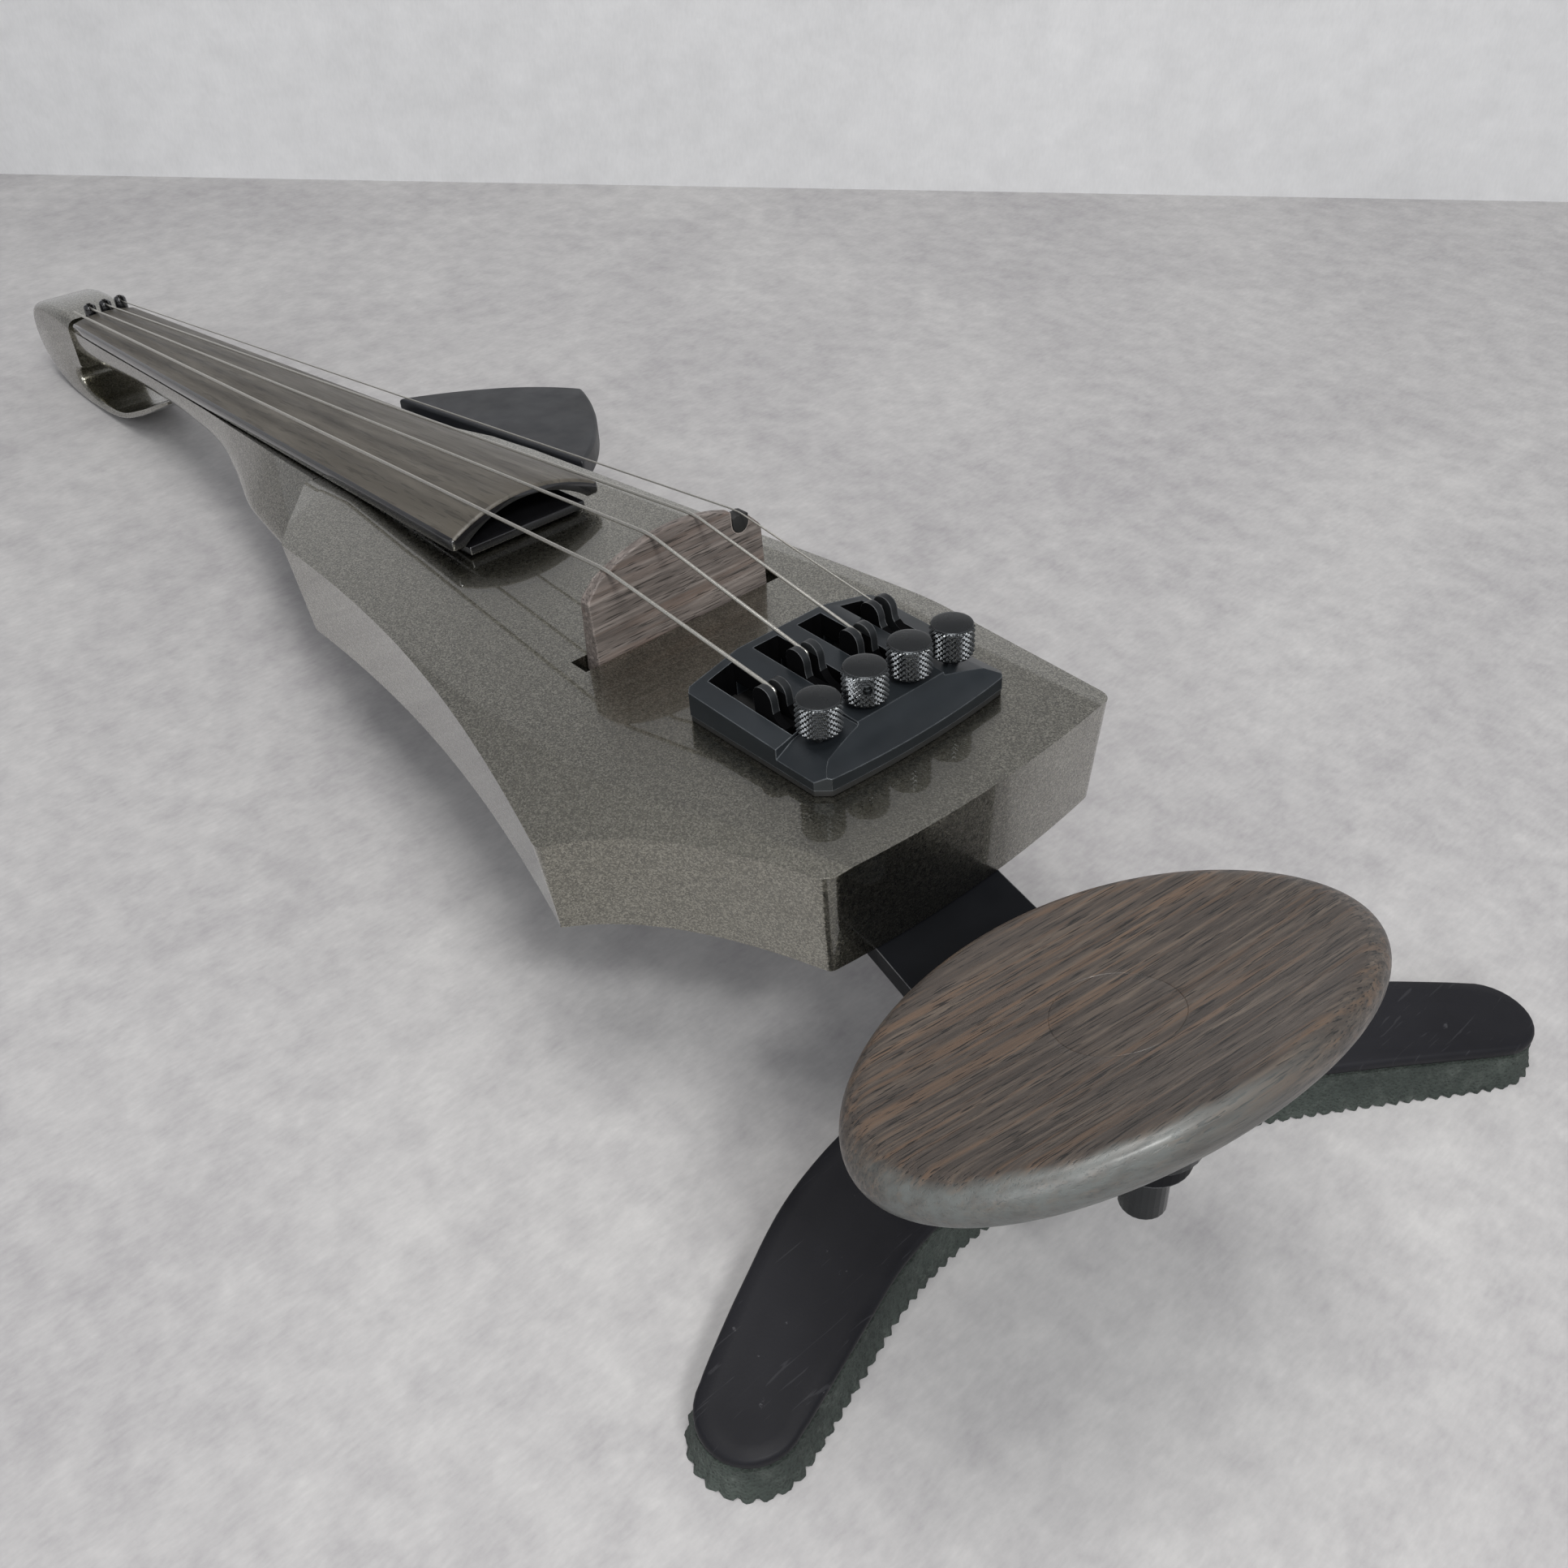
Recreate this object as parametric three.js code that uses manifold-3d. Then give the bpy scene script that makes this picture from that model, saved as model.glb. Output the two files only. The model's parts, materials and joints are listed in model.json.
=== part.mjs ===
// Electric violin: a solid tapered body with one bass-side wing, a hooked head, a bridge-end
// tuner block, an upper-bout plate, and a bracket that carries a chinrest and a shoulder rest.
// Units are millimetres. In the instrument's own frame the origin is on the body's top face
// under the middle of the bridge, +X points at the head, +Y at the bass side and +Z up.
// The finished group lies as it does on a table: on its head and on the shoulder rest.

import * as THREE from 'three';
import { mergeVertices } from 'three/addons/utils/BufferGeometryUtils.js';
import Module from 'manifold-3d';

const wasm = await Module();
wasm.setup();

// Shared fits
const seatGap = 0.3;
const runGap = 0.35;
const overrun = 2;
const weldTolerance = 1e-4;
const degree = Math.PI / 180;

// Resting attitude
const restTilt = 4.41 * degree;

// Body
const scaleLength = 327;
const bodyThickness = 24.5;
const tailReach = 88;
const tailCornerReach = 85.2;
const tailHalf = 37;
const trebleTailHalf = 39.7;
const shoulderReach = 98;
const shoulderHalf = 44.5;
const trebleShoulderHalf = 29;
const noseReach = 128;
const noseHalf = 23;
const bellyHalf = 43.7;
const bellyBack = 33;
const bellyRound = 14;
const wingReach = 65.5;
const wingBack = 39.4;
const bodyEdgeRound = 1.8;
const wingTipRound = 3.4;
const tailCornerRound = 5;
const creaseSlope = 8 * degree;
const creaseHalf = 48.7;
const creaseLift = 0.05;
const trebleCrease = 5.2;

// Fingerboard
const boardStart = 57;
const boardEndHalf = 21;
const boardNutHalf = 11.4;
const boardEdge = 3.2;
const boardEdgeHeight = 6.3;
const boardSlope = 0.0567;
const boardArch = 42;
const boardShell = 2.2;
const boardHollowLength = 84;
const boardHollowHalf = 18;
const supportHalf = 16.5;
const supportThickness = 2.2;
const supportLength = 68;

// Neck and head
const heelSetback = 14;
const heelStart = shoulderReach + heelSetback;
const heelBottom = 20;
const neckTopHalf = 22;
const neckHeelHalf = 34.4;
const trebleHeelShare = 0.745;
const trebleHeelRun = 74;
const headWidth = 23;
const headEdgeRound = 3.6;
const headReach = 47.5;
const headDepth = 41.5;
const nutLength = 5;
const nutHalf = 11.3;
const nutLobe = 2.1;
const nutRise = 1.5;

// Bridge and pickup
const bridgeHalf = 23.3;
const bridgeCrown = 22.5;
const bridgeTop = 2;
const bridgeFoot = 4.8;
const bridgeArch = 42;
const bridgeCorner = 16;
const bridgeSeat = 3.4;
const bridgeSlotLength = 54;
const bridgeSlotDepth = 8.5;
const pickupHeight = 4.2;
const insertWidth = 4.6;
const insertDepth = 5;
const insertWall = 1.2;

// Strings
const stringSpreadBridge = 35.2;
const stringSpreadNut = 16.5;
const stringSides = 8;
const strings = [
  { name: 'g', radius: 0.52, hookX: -48.3 },
  { name: 'd', radius: 0.48, hookX: -44.6 },
  { name: 'a', radius: 0.42, hookX: -47.1 },
  { name: 'e', radius: 0.36, hookX: -41.1 },
];

// Tuner block
const tunerMiddle = -2;
const tunerFront = 31;
const tunerRear = 69.6;
const tunerHalf = 25.2;
const tunerHeight = 9.8;
const tunerShelf = 8.6;
const tunerFacetHalf = 11.3;
const tunerFacetDrop = 3.2;
const tunerTail = 3.4;
const tunerWall = 2.6;
const tunerDeck = 3.8;
const tunerCorner = 2.4;
const gasketThickness = 0.8;
const slotWidth = 6.4;
const slotFront = 33;
const slotRear = 57;
const knobX = -61;
const knobRadius = 4.5;
const knobHeight = 7;
const knobLow = 8.5;
const middleLift = 1.3;
const screwRadius = 1.5;
const screwLength = 16;
const collarHeight = 1;
const pivotX = -51.5;
const pivotZ = 3.2;
const pivotRadius = 1.25;
const leverWidth = 5.4;
const leverTop = 12.5;
const leverHook = 2.5;
const leverBoss = 1.9;
const leverFork = 3;
const stringGap = 1.9;
const cavityDepth = 11;
const trunnionSize = 4;
const trunnionLow = -0.7;
const trunnionPlay = 0.32;
const forkClear = 0.45;

// Upper-bout plate
const boutThickness = 4;
const boutRise = 3.4;
const boutReach = 85;
const boutLength = 96.6;
const boutEdgeRound = 1.2;

// Electronics in the back of the body
const cavityFront = 62;
const cavityBack = 15;
const cavityHalf = 21;
const cavityRoof = 11.5;
const coverThickness = 2.2;
const coverMargin = 6;
const potRadius = 8;
const potHeight = 7.5;
const shaftRadius = 3;
const dialRadius = 7.5;
const dialHeight = 10;
const jackX = 30;
const jackZ = 13;
const jackRadius = 5.8;
const jackBore = 3.4;
const jackLength = 17;
const boardSizeX = 30;
const boardSizeY = 22;
const circuitThickness = 1.6;

// Bracket rail
const railAngle = 14.5 * degree;
const railWidth = 31.4;
const railEndRadius = 7;
const railTaper = 34;
const railThickness = 4;
const railFront = 14;
const railPivotX = -55;
const railPivotY = 1.2;
const chinStation = 93;
const shoulderStation = 49.6;
const shoulderAside = -2.8;

// Posts and wheels
const postRadius = 4;
const postBelow = 12;
const wheelRadius = 8.5;
const footRadius = 11.5;
const wheelHeight = 4;
const barrelRadius = 3.5;
const barrelWidth = 8;
const pinRadius = 1.6;
const earThickness = 2.5;

// Chinrest
const chinLong = 46;
const chinShort = 29;
const chinThickness = 9;
const chinDishLong = 1.2;
const chinDishShort = 5;
const chinTurn = 80 * degree;
const chinLean = 15 * degree;
const plugRadius = 10;
const plugDepth = 5;
const chinPivotZ = -16.1;
const chinSlideX = -1.1;
const chinSlideY = 7;
const chinFoot = 9.1;

// Shoulder rest
const shoulderPivotZ = -54;
const restPlate = 2.8;
const restRise = 14.5;
const restDrop = 4;
const restEndHalf = 9.6;
const restMidHalf = 13.5;
const foamFlare = 1.4;
const restReach = 99;
const restSweep = 54;
const restMiddle = 12;
const restArchReach = 90;

// Screws
const screwHead = 3.2;
const screwHeadHeight = 1.8;
const screwShank = 1.4;
const screwReach = 9;

const finish = (color, roughness, metalness) => {
  return new THREE.MeshStandardMaterial({ color, roughness, metalness });
};
const pewter = () => finish(0x6f6d63, 0.28, 0.75);
const satinBlack = () => finish(0x1d2124, 0.45, 0.35);
const darkWood = () => finish(0x4a423b, 0.55, 0);
const boardWood = () => finish(0x4d4943, 0.5, 0);
const steel = () => finish(0xc9c7bf, 0.25, 0.95);
const blackSteel = () => finish(0x17191b, 0.35, 0.7);
const gumRubber = () => finish(0x111111, 0.8, 0);
const foamGreen = () => finish(0x2f3632, 0.95, 0);
const brass = () => finish(0xa58a4d, 0.35, 0.85);
const circuit = () => finish(0x1f4a33, 0.6, 0);

// Solid tools

function toSolid(geometry) {
  const plain = geometry.clone();
  for (const name of Object.keys(plain.attributes)) {
    if (name !== 'position') {
      plain.deleteAttribute(name);
    }
  }
  const merged = mergeVertices(plain, weldTolerance);
  const solidMesh = new wasm.Mesh({
    numProp: 3,
    vertProperties: new Float32Array(merged.attributes.position.array),
    triVerts: new Uint32Array(merged.index.array),
  });
  return new wasm.Manifold(solidMesh);
}

function toGeometry(solid) {
  const result = solid.getMesh();
  const geometry = new THREE.BufferGeometry();
  geometry.setAttribute('position', new THREE.BufferAttribute(new Float32Array(result.vertProperties), 3));
  geometry.setIndex(new THREE.BufferAttribute(new Uint32Array(result.triVerts), 1));
  return geometry;
}

function cut(geometry, ...cutters) {
  return toGeometry(cutters.reduce((solid, cutter) => solid.subtract(toSolid(cutter)), toSolid(geometry)));
}

function join(geometry, ...others) {
  return toGeometry(others.reduce((solid, other) => solid.add(toSolid(other)), toSolid(geometry)));
}

function common(geometry, other) {
  return toGeometry(toSolid(geometry).intersect(toSolid(other)));
}

function piece(name, geometry, material) {
  const mesh = new THREE.Mesh(geometry, material);
  mesh.name = name;
  return mesh;
}

function boxBetween(x0, x1, y0, y1, z0, z1) {
  const geometry = new THREE.BoxGeometry(x1 - x0, y1 - y0, z1 - z0);
  geometry.translate((x0 + x1) / 2, (y0 + y1) / 2, (z0 + z1) / 2);
  return geometry;
}

function rodZ(radius, z0, z1, x = 0, y = 0, sides = 24) {
  const geometry = new THREE.CylinderGeometry(radius, radius, z1 - z0, sides);
  geometry.rotateX(Math.PI / 2);
  geometry.translate(x, y, (z0 + z1) / 2);
  return geometry;
}

function rodY(radius, y0, y1, x = 0, z = 0, sides = 20) {
  const geometry = new THREE.CylinderGeometry(radius, radius, y1 - y0, sides);
  geometry.translate(x, (y0 + y1) / 2, z);
  return geometry;
}

function chamferedRod(radius, z0, z1, chamfer, sides = 28) {
  const profile = [
    new THREE.Vector2(0, z0),
    new THREE.Vector2(radius - chamfer, z0),
    new THREE.Vector2(radius, z0 + chamfer),
    new THREE.Vector2(radius, z1 - chamfer),
    new THREE.Vector2(radius - chamfer, z1),
    new THREE.Vector2(0, z1),
  ];
  const geometry = new THREE.LatheGeometry(profile, sides);
  geometry.rotateX(Math.PI / 2);
  return geometry;
}

// Turns every face of a closed skin outwards when its rings were given the other way round
function faceOutwards(points, index) {
  let volume = 0;
  for (let i = 0; i < index.length; i += 3) {
    const [a, b, c] = [points[index[i]], points[index[i + 1]], points[index[i + 2]]];
    volume += a.dot(b.clone().cross(c));
  }
  return volume < 0 ? index.reverse() : index;
}

// A closed skin over rings that hold the same number of points, with a fan at each end
function loft(rings) {
  const count = rings[0].length;
  const points = rings.flat();
  const firstCentre = points.length;
  const lastCentre = firstCentre + 1;
  const centreOf = (ring) => ring.reduce((sum, p) => sum.add(p), new THREE.Vector3()).divideScalar(count);
  points.push(centreOf(rings[0]), centreOf(rings[rings.length - 1]));
  const index = [];
  for (let r = 0; r < rings.length - 1; r++) {
    for (let i = 0; i < count; i++) {
      const a = r * count + i;
      const b = r * count + ((i + 1) % count);
      index.push(a, b, a + count, b, b + count, a + count);
    }
  }
  const last = (rings.length - 1) * count;
  for (let i = 0; i < count; i++) {
    index.push(firstCentre, (i + 1) % count, i);
    index.push(lastCentre, last + i, last + ((i + 1) % count));
  }
  const geometry = new THREE.BufferGeometry().setFromPoints(points);
  geometry.setIndex(faceOutwards(points, index));
  return geometry;
}

function extrudeUp(shape, z0, z1, curveSegments = 8) {
  const geometry = new THREE.ExtrudeGeometry(shape, { depth: z1 - z0, bevelEnabled: false, curveSegments });
  geometry.translate(0, 0, z0);
  return geometry;
}

function extrudeUpRounded(shape, z0, z1, round, bevelSegments, curveSegments) {
  const options = {
    depth: z1 - z0 - 2 * round,
    bevelEnabled: true,
    bevelThickness: round,
    bevelSize: round,
    bevelOffset: -round,
    bevelSegments,
    curveSegments,
  };
  const geometry = new THREE.ExtrudeGeometry(shape, options);
  geometry.translate(0, 0, z0 + round);
  return geometry;
}

// A side profile drawn in X and Z, extruded across Y about the middle plane
function extrudeAcross(shape, width, round = 0, segments = 8) {
  const options = {
    depth: width - 2 * round,
    bevelEnabled: round > 0,
    bevelThickness: round,
    bevelSize: round,
    bevelOffset: -round,
    bevelSegments: 3,
    curveSegments: segments,
  };
  const geometry = new THREE.ExtrudeGeometry(shape, options);
  geometry.rotateX(Math.PI / 2);
  geometry.translate(0, width / 2 - round, 0);
  return geometry;
}

function screwUp(headZ) {
  const head = chamferedRod(screwHead, headZ, headZ + screwHeadHeight, screwHeadHeight / 4, 16);
  const shankTop = headZ + screwHeadHeight + screwReach;
  const shank = rodZ(screwShank, headZ + screwHeadHeight / 2, shankTop, 0, 0, 12);
  const driver = screwHead / 2;
  const wall = screwHeadHeight / 6;
  const slot = boxBetween(-driver, driver, -wall, wall, headZ - overrun, headZ + screwHeadHeight / 2);
  return cut(join(head, shank), slot);
}

function screwHole(headZ, x, y) {
  const reach = screwReach + screwHeadHeight + seatGap;
  return rodZ(screwShank + seatGap, headZ - overrun, headZ + reach, x, y, 12);
}

// Heights shared by the fingerboard, its support, the neck and the nut

const boardTopEdge = (x) => boardEdgeHeight + (boardStart - x) * boardSlope;
const boardBottom = (x) => boardTopEdge(x) - boardEdge;
const boardHalf = (x) => {
  const share = (x - boardStart) / (scaleLength - boardStart);
  return THREE.MathUtils.lerp(boardEndHalf, boardNutHalf, share);
};
const archRise = (radius, half, y) => Math.sqrt(radius ** 2 - y ** 2) - Math.sqrt(radius ** 2 - half ** 2);

// Body

// The points of one run of an outline and of the rounded corner that leads to the next run
function softenedRun({ curve, steps, round }, next) {
  const length = curve.getLength();
  const first = round / length;
  const last = 1 - next.round / length;
  const points = Array.from({ length: steps + 1 }, (_, i) => {
    return curve.getPointAt(THREE.MathUtils.lerp(first, last, i / steps));
  });
  if (!next.round) {
    return points.slice(0, -1);
  }
  const after = next.curve.getPointAt(next.round / next.curve.getLength());
  const bend = new THREE.QuadraticBezierCurve(points[steps], next.curve.getPoint(0), after);
  const bendSteps = 4;
  return [...points, ...bend.getPoints(bendSteps).slice(1, -1)];
}

// Half width of the treble side at `x`, from the belly to the shoulder
const trebleHalfAt = (x) => {
  const share = (x + bellyBack) / (shoulderReach + bellyBack);
  return THREE.MathUtils.lerp(bellyHalf, trebleShoulderHalf, share);
};

function bodyOutline() {
  const at = (x, y) => new THREE.Vector2(x, y);
  const line = (from, to) => new THREE.LineCurve(from, to);
  const bow = (from, over, to) => new THREE.QuadraticBezierCurve(from, over, to);
  const nose = at(noseReach, noseHalf);
  const shoulder = at(shoulderReach, shoulderHalf);
  const wingTip = at(-wingBack, wingReach);
  const bassCorner = at(-tailCornerReach, tailHalf);
  const trebleCorner = at(-tailCornerReach, -trebleTailHalf);
  const belly = at(-bellyBack, -bellyHalf);
  const lowShoulder = at(shoulderReach, -trebleShoulderHalf);
  const lowNose = at(noseReach, -noseHalf);
  const tailMiddle = at(tailCornerReach - 2 * tailReach, 0);
  const wingStart = at(shoulderReach * 0.41, shoulderHalf * 1.01);
  const wingEnd = at(0, wingReach * 0.825);
  const tailBow = at(-tailReach * 0.568, wingReach * 0.72);
  const hipBow = at(-tailReach * 0.67, -bellyHalf * 0.965);
  const runs = [
    { curve: line(nose, shoulder), steps: 1, round: 0 },
    { curve: new THREE.CubicBezierCurve(shoulder, wingStart, wingEnd, wingTip), steps: 12, round: 0 },
    { curve: bow(wingTip, tailBow, bassCorner), steps: 8, round: wingTipRound },
    { curve: bow(bassCorner, tailMiddle, trebleCorner), steps: 6, round: tailCornerRound },
    { curve: bow(trebleCorner, hipBow, belly), steps: 8, round: tailCornerRound },
    { curve: line(belly, lowShoulder), steps: 1, round: bellyRound },
    { curve: line(lowShoulder, lowNose), steps: 1, round: 0 },
    { curve: line(lowNose, nose), steps: 1, round: 0 },
  ];
  return new THREE.Shape(runs.flatMap((run, k) => softenedRun(run, runs[(k + 1) % runs.length])));
}

// The top slopes away outside a crease; `side` is 1 on the bass side and -1 on the treble side
function slopeCutter(points, side) {
  const crease = new THREE.CatmullRomCurve3(points.map(([x, y]) => new THREE.Vector3(x, y, 0)));
  const reach = wingReach;
  const stations = 18;
  const rings = crease.getPoints(stations).map((p) => [
    new THREE.Vector3(p.x, p.y, creaseLift),
    new THREE.Vector3(p.x, p.y, overrun),
    new THREE.Vector3(p.x, p.y + side * reach, overrun),
    new THREE.Vector3(p.x, p.y + side * reach, -reach * Math.tan(creaseSlope)),
  ]);
  return loft(rings.reverse());
}

// The bass crease carries the narrow treble outline over to the side with the wing
function bassSlope() {
  return slopeCutter([
    [shoulderReach, creaseHalf * 1.16],
    [shoulderReach * 0.65, creaseHalf * 1.07],
    [shoulderReach * 0.36, creaseHalf],
    [0, creaseHalf],
    [-tailReach * 0.45, creaseHalf * 0.9],
    [-tailReach * 0.93, tailHalf * 0.88],
    [-tailReach - overrun, tailHalf * 0.85],
  ], 1);
}

function trebleSlope() {
  return slopeCutter([
    [shoulderReach, trebleCrease - trebleHalfAt(shoulderReach)],
    [shoulderReach * 0.3, trebleCrease - trebleHalfAt(shoulderReach * 0.3)],
    [-bellyBack * 0.6, trebleCrease * 1.1 - trebleHalfAt(-bellyBack * 0.6)],
    [-tailReach * 0.65, trebleCrease - trebleTailHalf],
    [-tailReach - overrun, trebleCrease * 0.9 - trebleTailHalf],
  ], -1);
}

function boardPlaneCutter(half, below, from, to) {
  const z = (x) => boardBottom(x) - below;
  const ring = (x) => [
    new THREE.Vector3(x, -half, z(x)),
    new THREE.Vector3(x, half, z(x)),
    new THREE.Vector3(x, half, bodyThickness),
    new THREE.Vector3(x, -half, bodyThickness),
  ];
  return loft([ring(from), ring(to)]);
}

// Room for the plate under the fingerboard, shared by the body and the neck
function supportCutter(before) {
  const end = boardStart + supportLength + seatGap;
  const depth = supportThickness + 2 * seatGap;
  return boardPlaneCutter(supportHalf + seatGap, depth, boardStart - before, end);
}

// The well under the tuner block, shared by the body and the gasket
function tunerWell(middle, low, high) {
  const half = tunerHalf - tunerWall - seatGap;
  const rear = -tunerRear + tunerWall * 1.5;
  return boxBetween(rear, -tunerFront - tunerWall, middle - half, middle + half, low, high);
}

function makeBody() {
  const back = -bodyThickness;
  const heelUnder = -heelBottom;
  const slab = extrudeUpRounded(bodyOutline(), back, 0, bodyEdgeRound, 3, 10);
  const slotHalf = bridgeSlotLength / 2;
  const slotWall = bridgeFoot / 2 + seatGap;
  const leadHalf = slotWall / 2;
  const railHoles = railScrewPlaces.map((s) => {
    const place = railPoint(s, 0);
    return screwHole(back - railThickness - screwHeadHeight, place.x, place.y);
  });
  const coverHoles = coverScrewPlaces.map(([x, y]) => screwHole(back - screwHeadHeight, x, y));
  const geometry = cut(
    slab,
    bassSlope(),
    trebleSlope(),
    boardPlaneCutter(wingReach, seatGap, boardStart, noseReach + overrun),
    supportCutter(overrun),
    boxBetween(-slotWall, slotWall, -slotHalf, slotHalf, -bridgeSlotDepth, overrun),
    tunerWell(tunerMiddle, -cavityDepth, overrun),
    boxBetween(-cavityBack, cavityFront, -cavityHalf, cavityHalf, back - overrun, -cavityRoof),
    coverRecess(),
    boxBetween(-leadHalf, leadHalf, -leadHalf, leadHalf, -cavityRoof - overrun, -bridgeSlotDepth + overrun),
    rodY(jackRadius + seatGap, -bellyHalf - overrun, -cavityHalf + overrun, jackX, -jackZ, 28),
    rodY(jackFlange + seatGap, -bellyHalf - overrun, -jackSeat, jackX, -jackZ, 28),
    boxBetween(heelStart - seatGap, noseReach + overrun, -wingReach, wingReach, back - overrun, heelUnder),
    ...railHoles,
    ...coverHoles,
  );
  return piece('body', geometry, pewter());
}

// Neck: sections run from the flared heel to the nut, then the head is a hooked side profile

function neckRing(x, top, bottom, depth, squareness) {
  const run = Math.min((x - heelStart) / trebleHeelRun, 1);
  const treble = THREE.MathUtils.lerp(trebleHeelShare, 1, run);
  const ring = [];
  const steps = 15;
  const zTop = boardBottom(x) - seatGap;
  for (let i = 0; i <= steps; i++) {
    const turn = (Math.PI * i) / steps;
    const drop = Math.abs(Math.sin(turn)) ** (2 / squareness);
    const across = Math.sign(Math.cos(turn)) * Math.abs(Math.cos(turn)) ** (2 / squareness);
    const half = THREE.MathUtils.lerp(top, across < 0 ? bottom * treble : bottom, drop);
    ring.push(new THREE.Vector3(x, across * half, THREE.MathUtils.lerp(zTop, -depth, drop)));
  }
  return ring.reverse();
}

// Rounded rectangle between an outer and an inner edge of the head, `half` wide to either side
function headRing(outer, inner, half) {
  const middle = outer.clone().add(inner).multiplyScalar(0.5);
  const lift = outer.clone().sub(inner).multiplyScalar(0.5);
  const thick = lift.length();
  const up = lift.normalize();
  const outerRoundShare = 0.8;
  const innerRoundShare = 0.5;
  const outerRound = Math.min(headEdgeRound, thick * outerRoundShare);
  const innerRound = Math.min(headEdgeRound / 2, thick * innerRoundShare);
  const corners = [
    [1, 1, outerRound, 0],
    [-1, 1, outerRound, 1],
    [-1, -1, innerRound, 2],
    [1, -1, innerRound, 3],
  ];
  const arcSteps = 3;
  return corners.flatMap(([sideY, sideUp, round, quarter]) => {
    return Array.from({ length: arcSteps + 1 }, (_, k) => {
      const turn = (Math.PI / 2) * (quarter + k / arcSteps);
      const y = sideY * (half - round) + round * Math.cos(turn);
      const rise = sideUp * (thick - round) + round * Math.sin(turn);
      return new THREE.Vector3(middle.x + up.x * rise, y, middle.y + up.y * rise);
    });
  });
}

// The head curls forward, down and back: outer and inner edges as shares of its reach and depth
function headSweep() {
  const start = scaleLength + nutLength + 2 * seatGap;
  const reach = headReach - nutLength;
  const edgeShares = [
    [0, 0.225, 0, 0.645],
    [0.29, 0.2, 0.09, 0.67],
    [0.64, 0.22, 0.14, 0.7],
    [0.88, 0.29, 0.165, 0.735],
    [0.985, 0.45, 0.17, 0.765],
    [0.97, 0.64, 0.155, 0.8],
    [0.85, 0.785, 0.115, 0.835],
    [0.61, 0.915, 0.045, 0.865],
    [0.285, 0.985, -0.06, 0.89],
    [-0.13, 1, -0.25, 0.91],
    [-0.55, 0.95, -0.58, 0.885],
    [-0.97, 0.815, -0.99, 0.755],
    [-1.33, 0.665, -1.35, 0.615],
    [-1.55, 0.565, -1.557, 0.542],
  ];
  const outer = new THREE.SplineCurve(edgeShares.map(([x, z]) => {
    return new THREE.Vector2(start + x * reach, -z * headDepth);
  }));
  const inner = new THREE.SplineCurve(edgeShares.map(([, , x, z]) => {
    return new THREE.Vector2(start + x * reach, -z * headDepth);
  }));
  const tipNarrowShare = 0.4;
  const steps = 2 * (edgeShares.length - 1);
  const rings = [];
  for (let k = 0; k <= steps; k++) {
    const share = k / steps;
    const narrow = 1 - tipNarrowShare * share ** 5;
    rings.push(headRing(outer.getPoint(share), inner.getPoint(share), (headWidth / 2) * narrow));
  }
  return loft(rings);
}

function makeNeck() {
  const end = scaleLength + nutLength + seatGap * 6;
  const stationShares = [
    [0, 1, 1, 1, 22],
    [0.072, 0.927, 0.948, 1, 22],
    [0.17, 0.873, 0.86, 1, 20],
    [0.24, 0.827, 0.785, 1, 16],
    [0.332, 0.773, 0.596, 1, 9],
    [0.424, 0.714, 0.448, 1, 4.6],
    [0.534, 0.664, 0.413, 1.015, 2.7],
    [0.707, 0.6, 0.375, 1.055, 2.4],
    [0.857, 0.55, 0.343, 1.185, 2.6],
    [1, 0.482, 0.302, 1.325, 3],
  ];
  const stations = stationShares.map(([along, top, bottom, depth, squareness]) => {
    const x = THREE.MathUtils.lerp(heelStart, end, along);
    return [x, neckTopHalf * top, neckHeelHalf * bottom, heelBottom * depth - seatGap, squareness];
  });
  const shaft = loft(stations.map((row) => neckRing(...row)));
  const bodyRoom = new THREE.Shape();
  const reach = shoulderReach - headWidth;
  bodyRoom.moveTo(reach, shoulderHalf + seatGap);
  bodyRoom.lineTo(shoulderReach, shoulderHalf + seatGap);
  bodyRoom.lineTo(noseReach + seatGap, noseHalf + seatGap);
  bodyRoom.lineTo(noseReach + seatGap, -noseHalf - seatGap);
  bodyRoom.lineTo(shoulderReach, -trebleShoulderHalf - seatGap);
  bodyRoom.lineTo(reach, -trebleShoulderHalf - seatGap);
  bodyRoom.closePath();
  const holeStart = -heelBottom - boutThickness - screwHeadHeight;
  const boutHoles = boutScrewPlaces.map((x) => screwHole(holeStart, x, 0));
  const geometry = cut(
    join(shaft, headSweep()),
    extrudeUp(bodyRoom, -bodyThickness * 2, bodyThickness),
    supportCutter(0),
    ...boutHoles,
  );
  return piece('neck', geometry, pewter());
}

// Fingerboard: an arched board, thin and hollow where it overhangs the body

function archRing(x, half, radius, zEdge, zBottom, steps = 12) {
  const ring = [new THREE.Vector3(x, -half, zBottom)];
  for (let i = 0; i <= steps; i++) {
    const y = THREE.MathUtils.lerp(-half, half, i / steps);
    ring.push(new THREE.Vector3(x, y, zEdge + archRise(radius, half, y)));
  }
  ring.push(new THREE.Vector3(x, half, zBottom));
  return ring.reverse();
}

function makeFingerboard() {
  const rings = [boardStart, scaleLength - seatGap].map((x) => {
    return archRing(x, boardHalf(x), boardArch, boardTopEdge(x), boardBottom(x));
  });
  const crown = archRise(boardArch, boardEndHalf, 0) - boardShell;
  const sagitta = crown + boardEdge;
  const radius = (boardHollowHalf ** 2 + sagitta ** 2) / (2 * sagitta);
  const hollow = [boardStart - overrun, boardStart + boardHollowLength].map((x) => {
    const low = boardBottom(x) - overrun;
    return archRing(x, boardHollowHalf, radius, boardBottom(x), low);
  });
  return piece('fingerboard', cut(loft(rings), loft(hollow)), boardWood());
}

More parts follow.
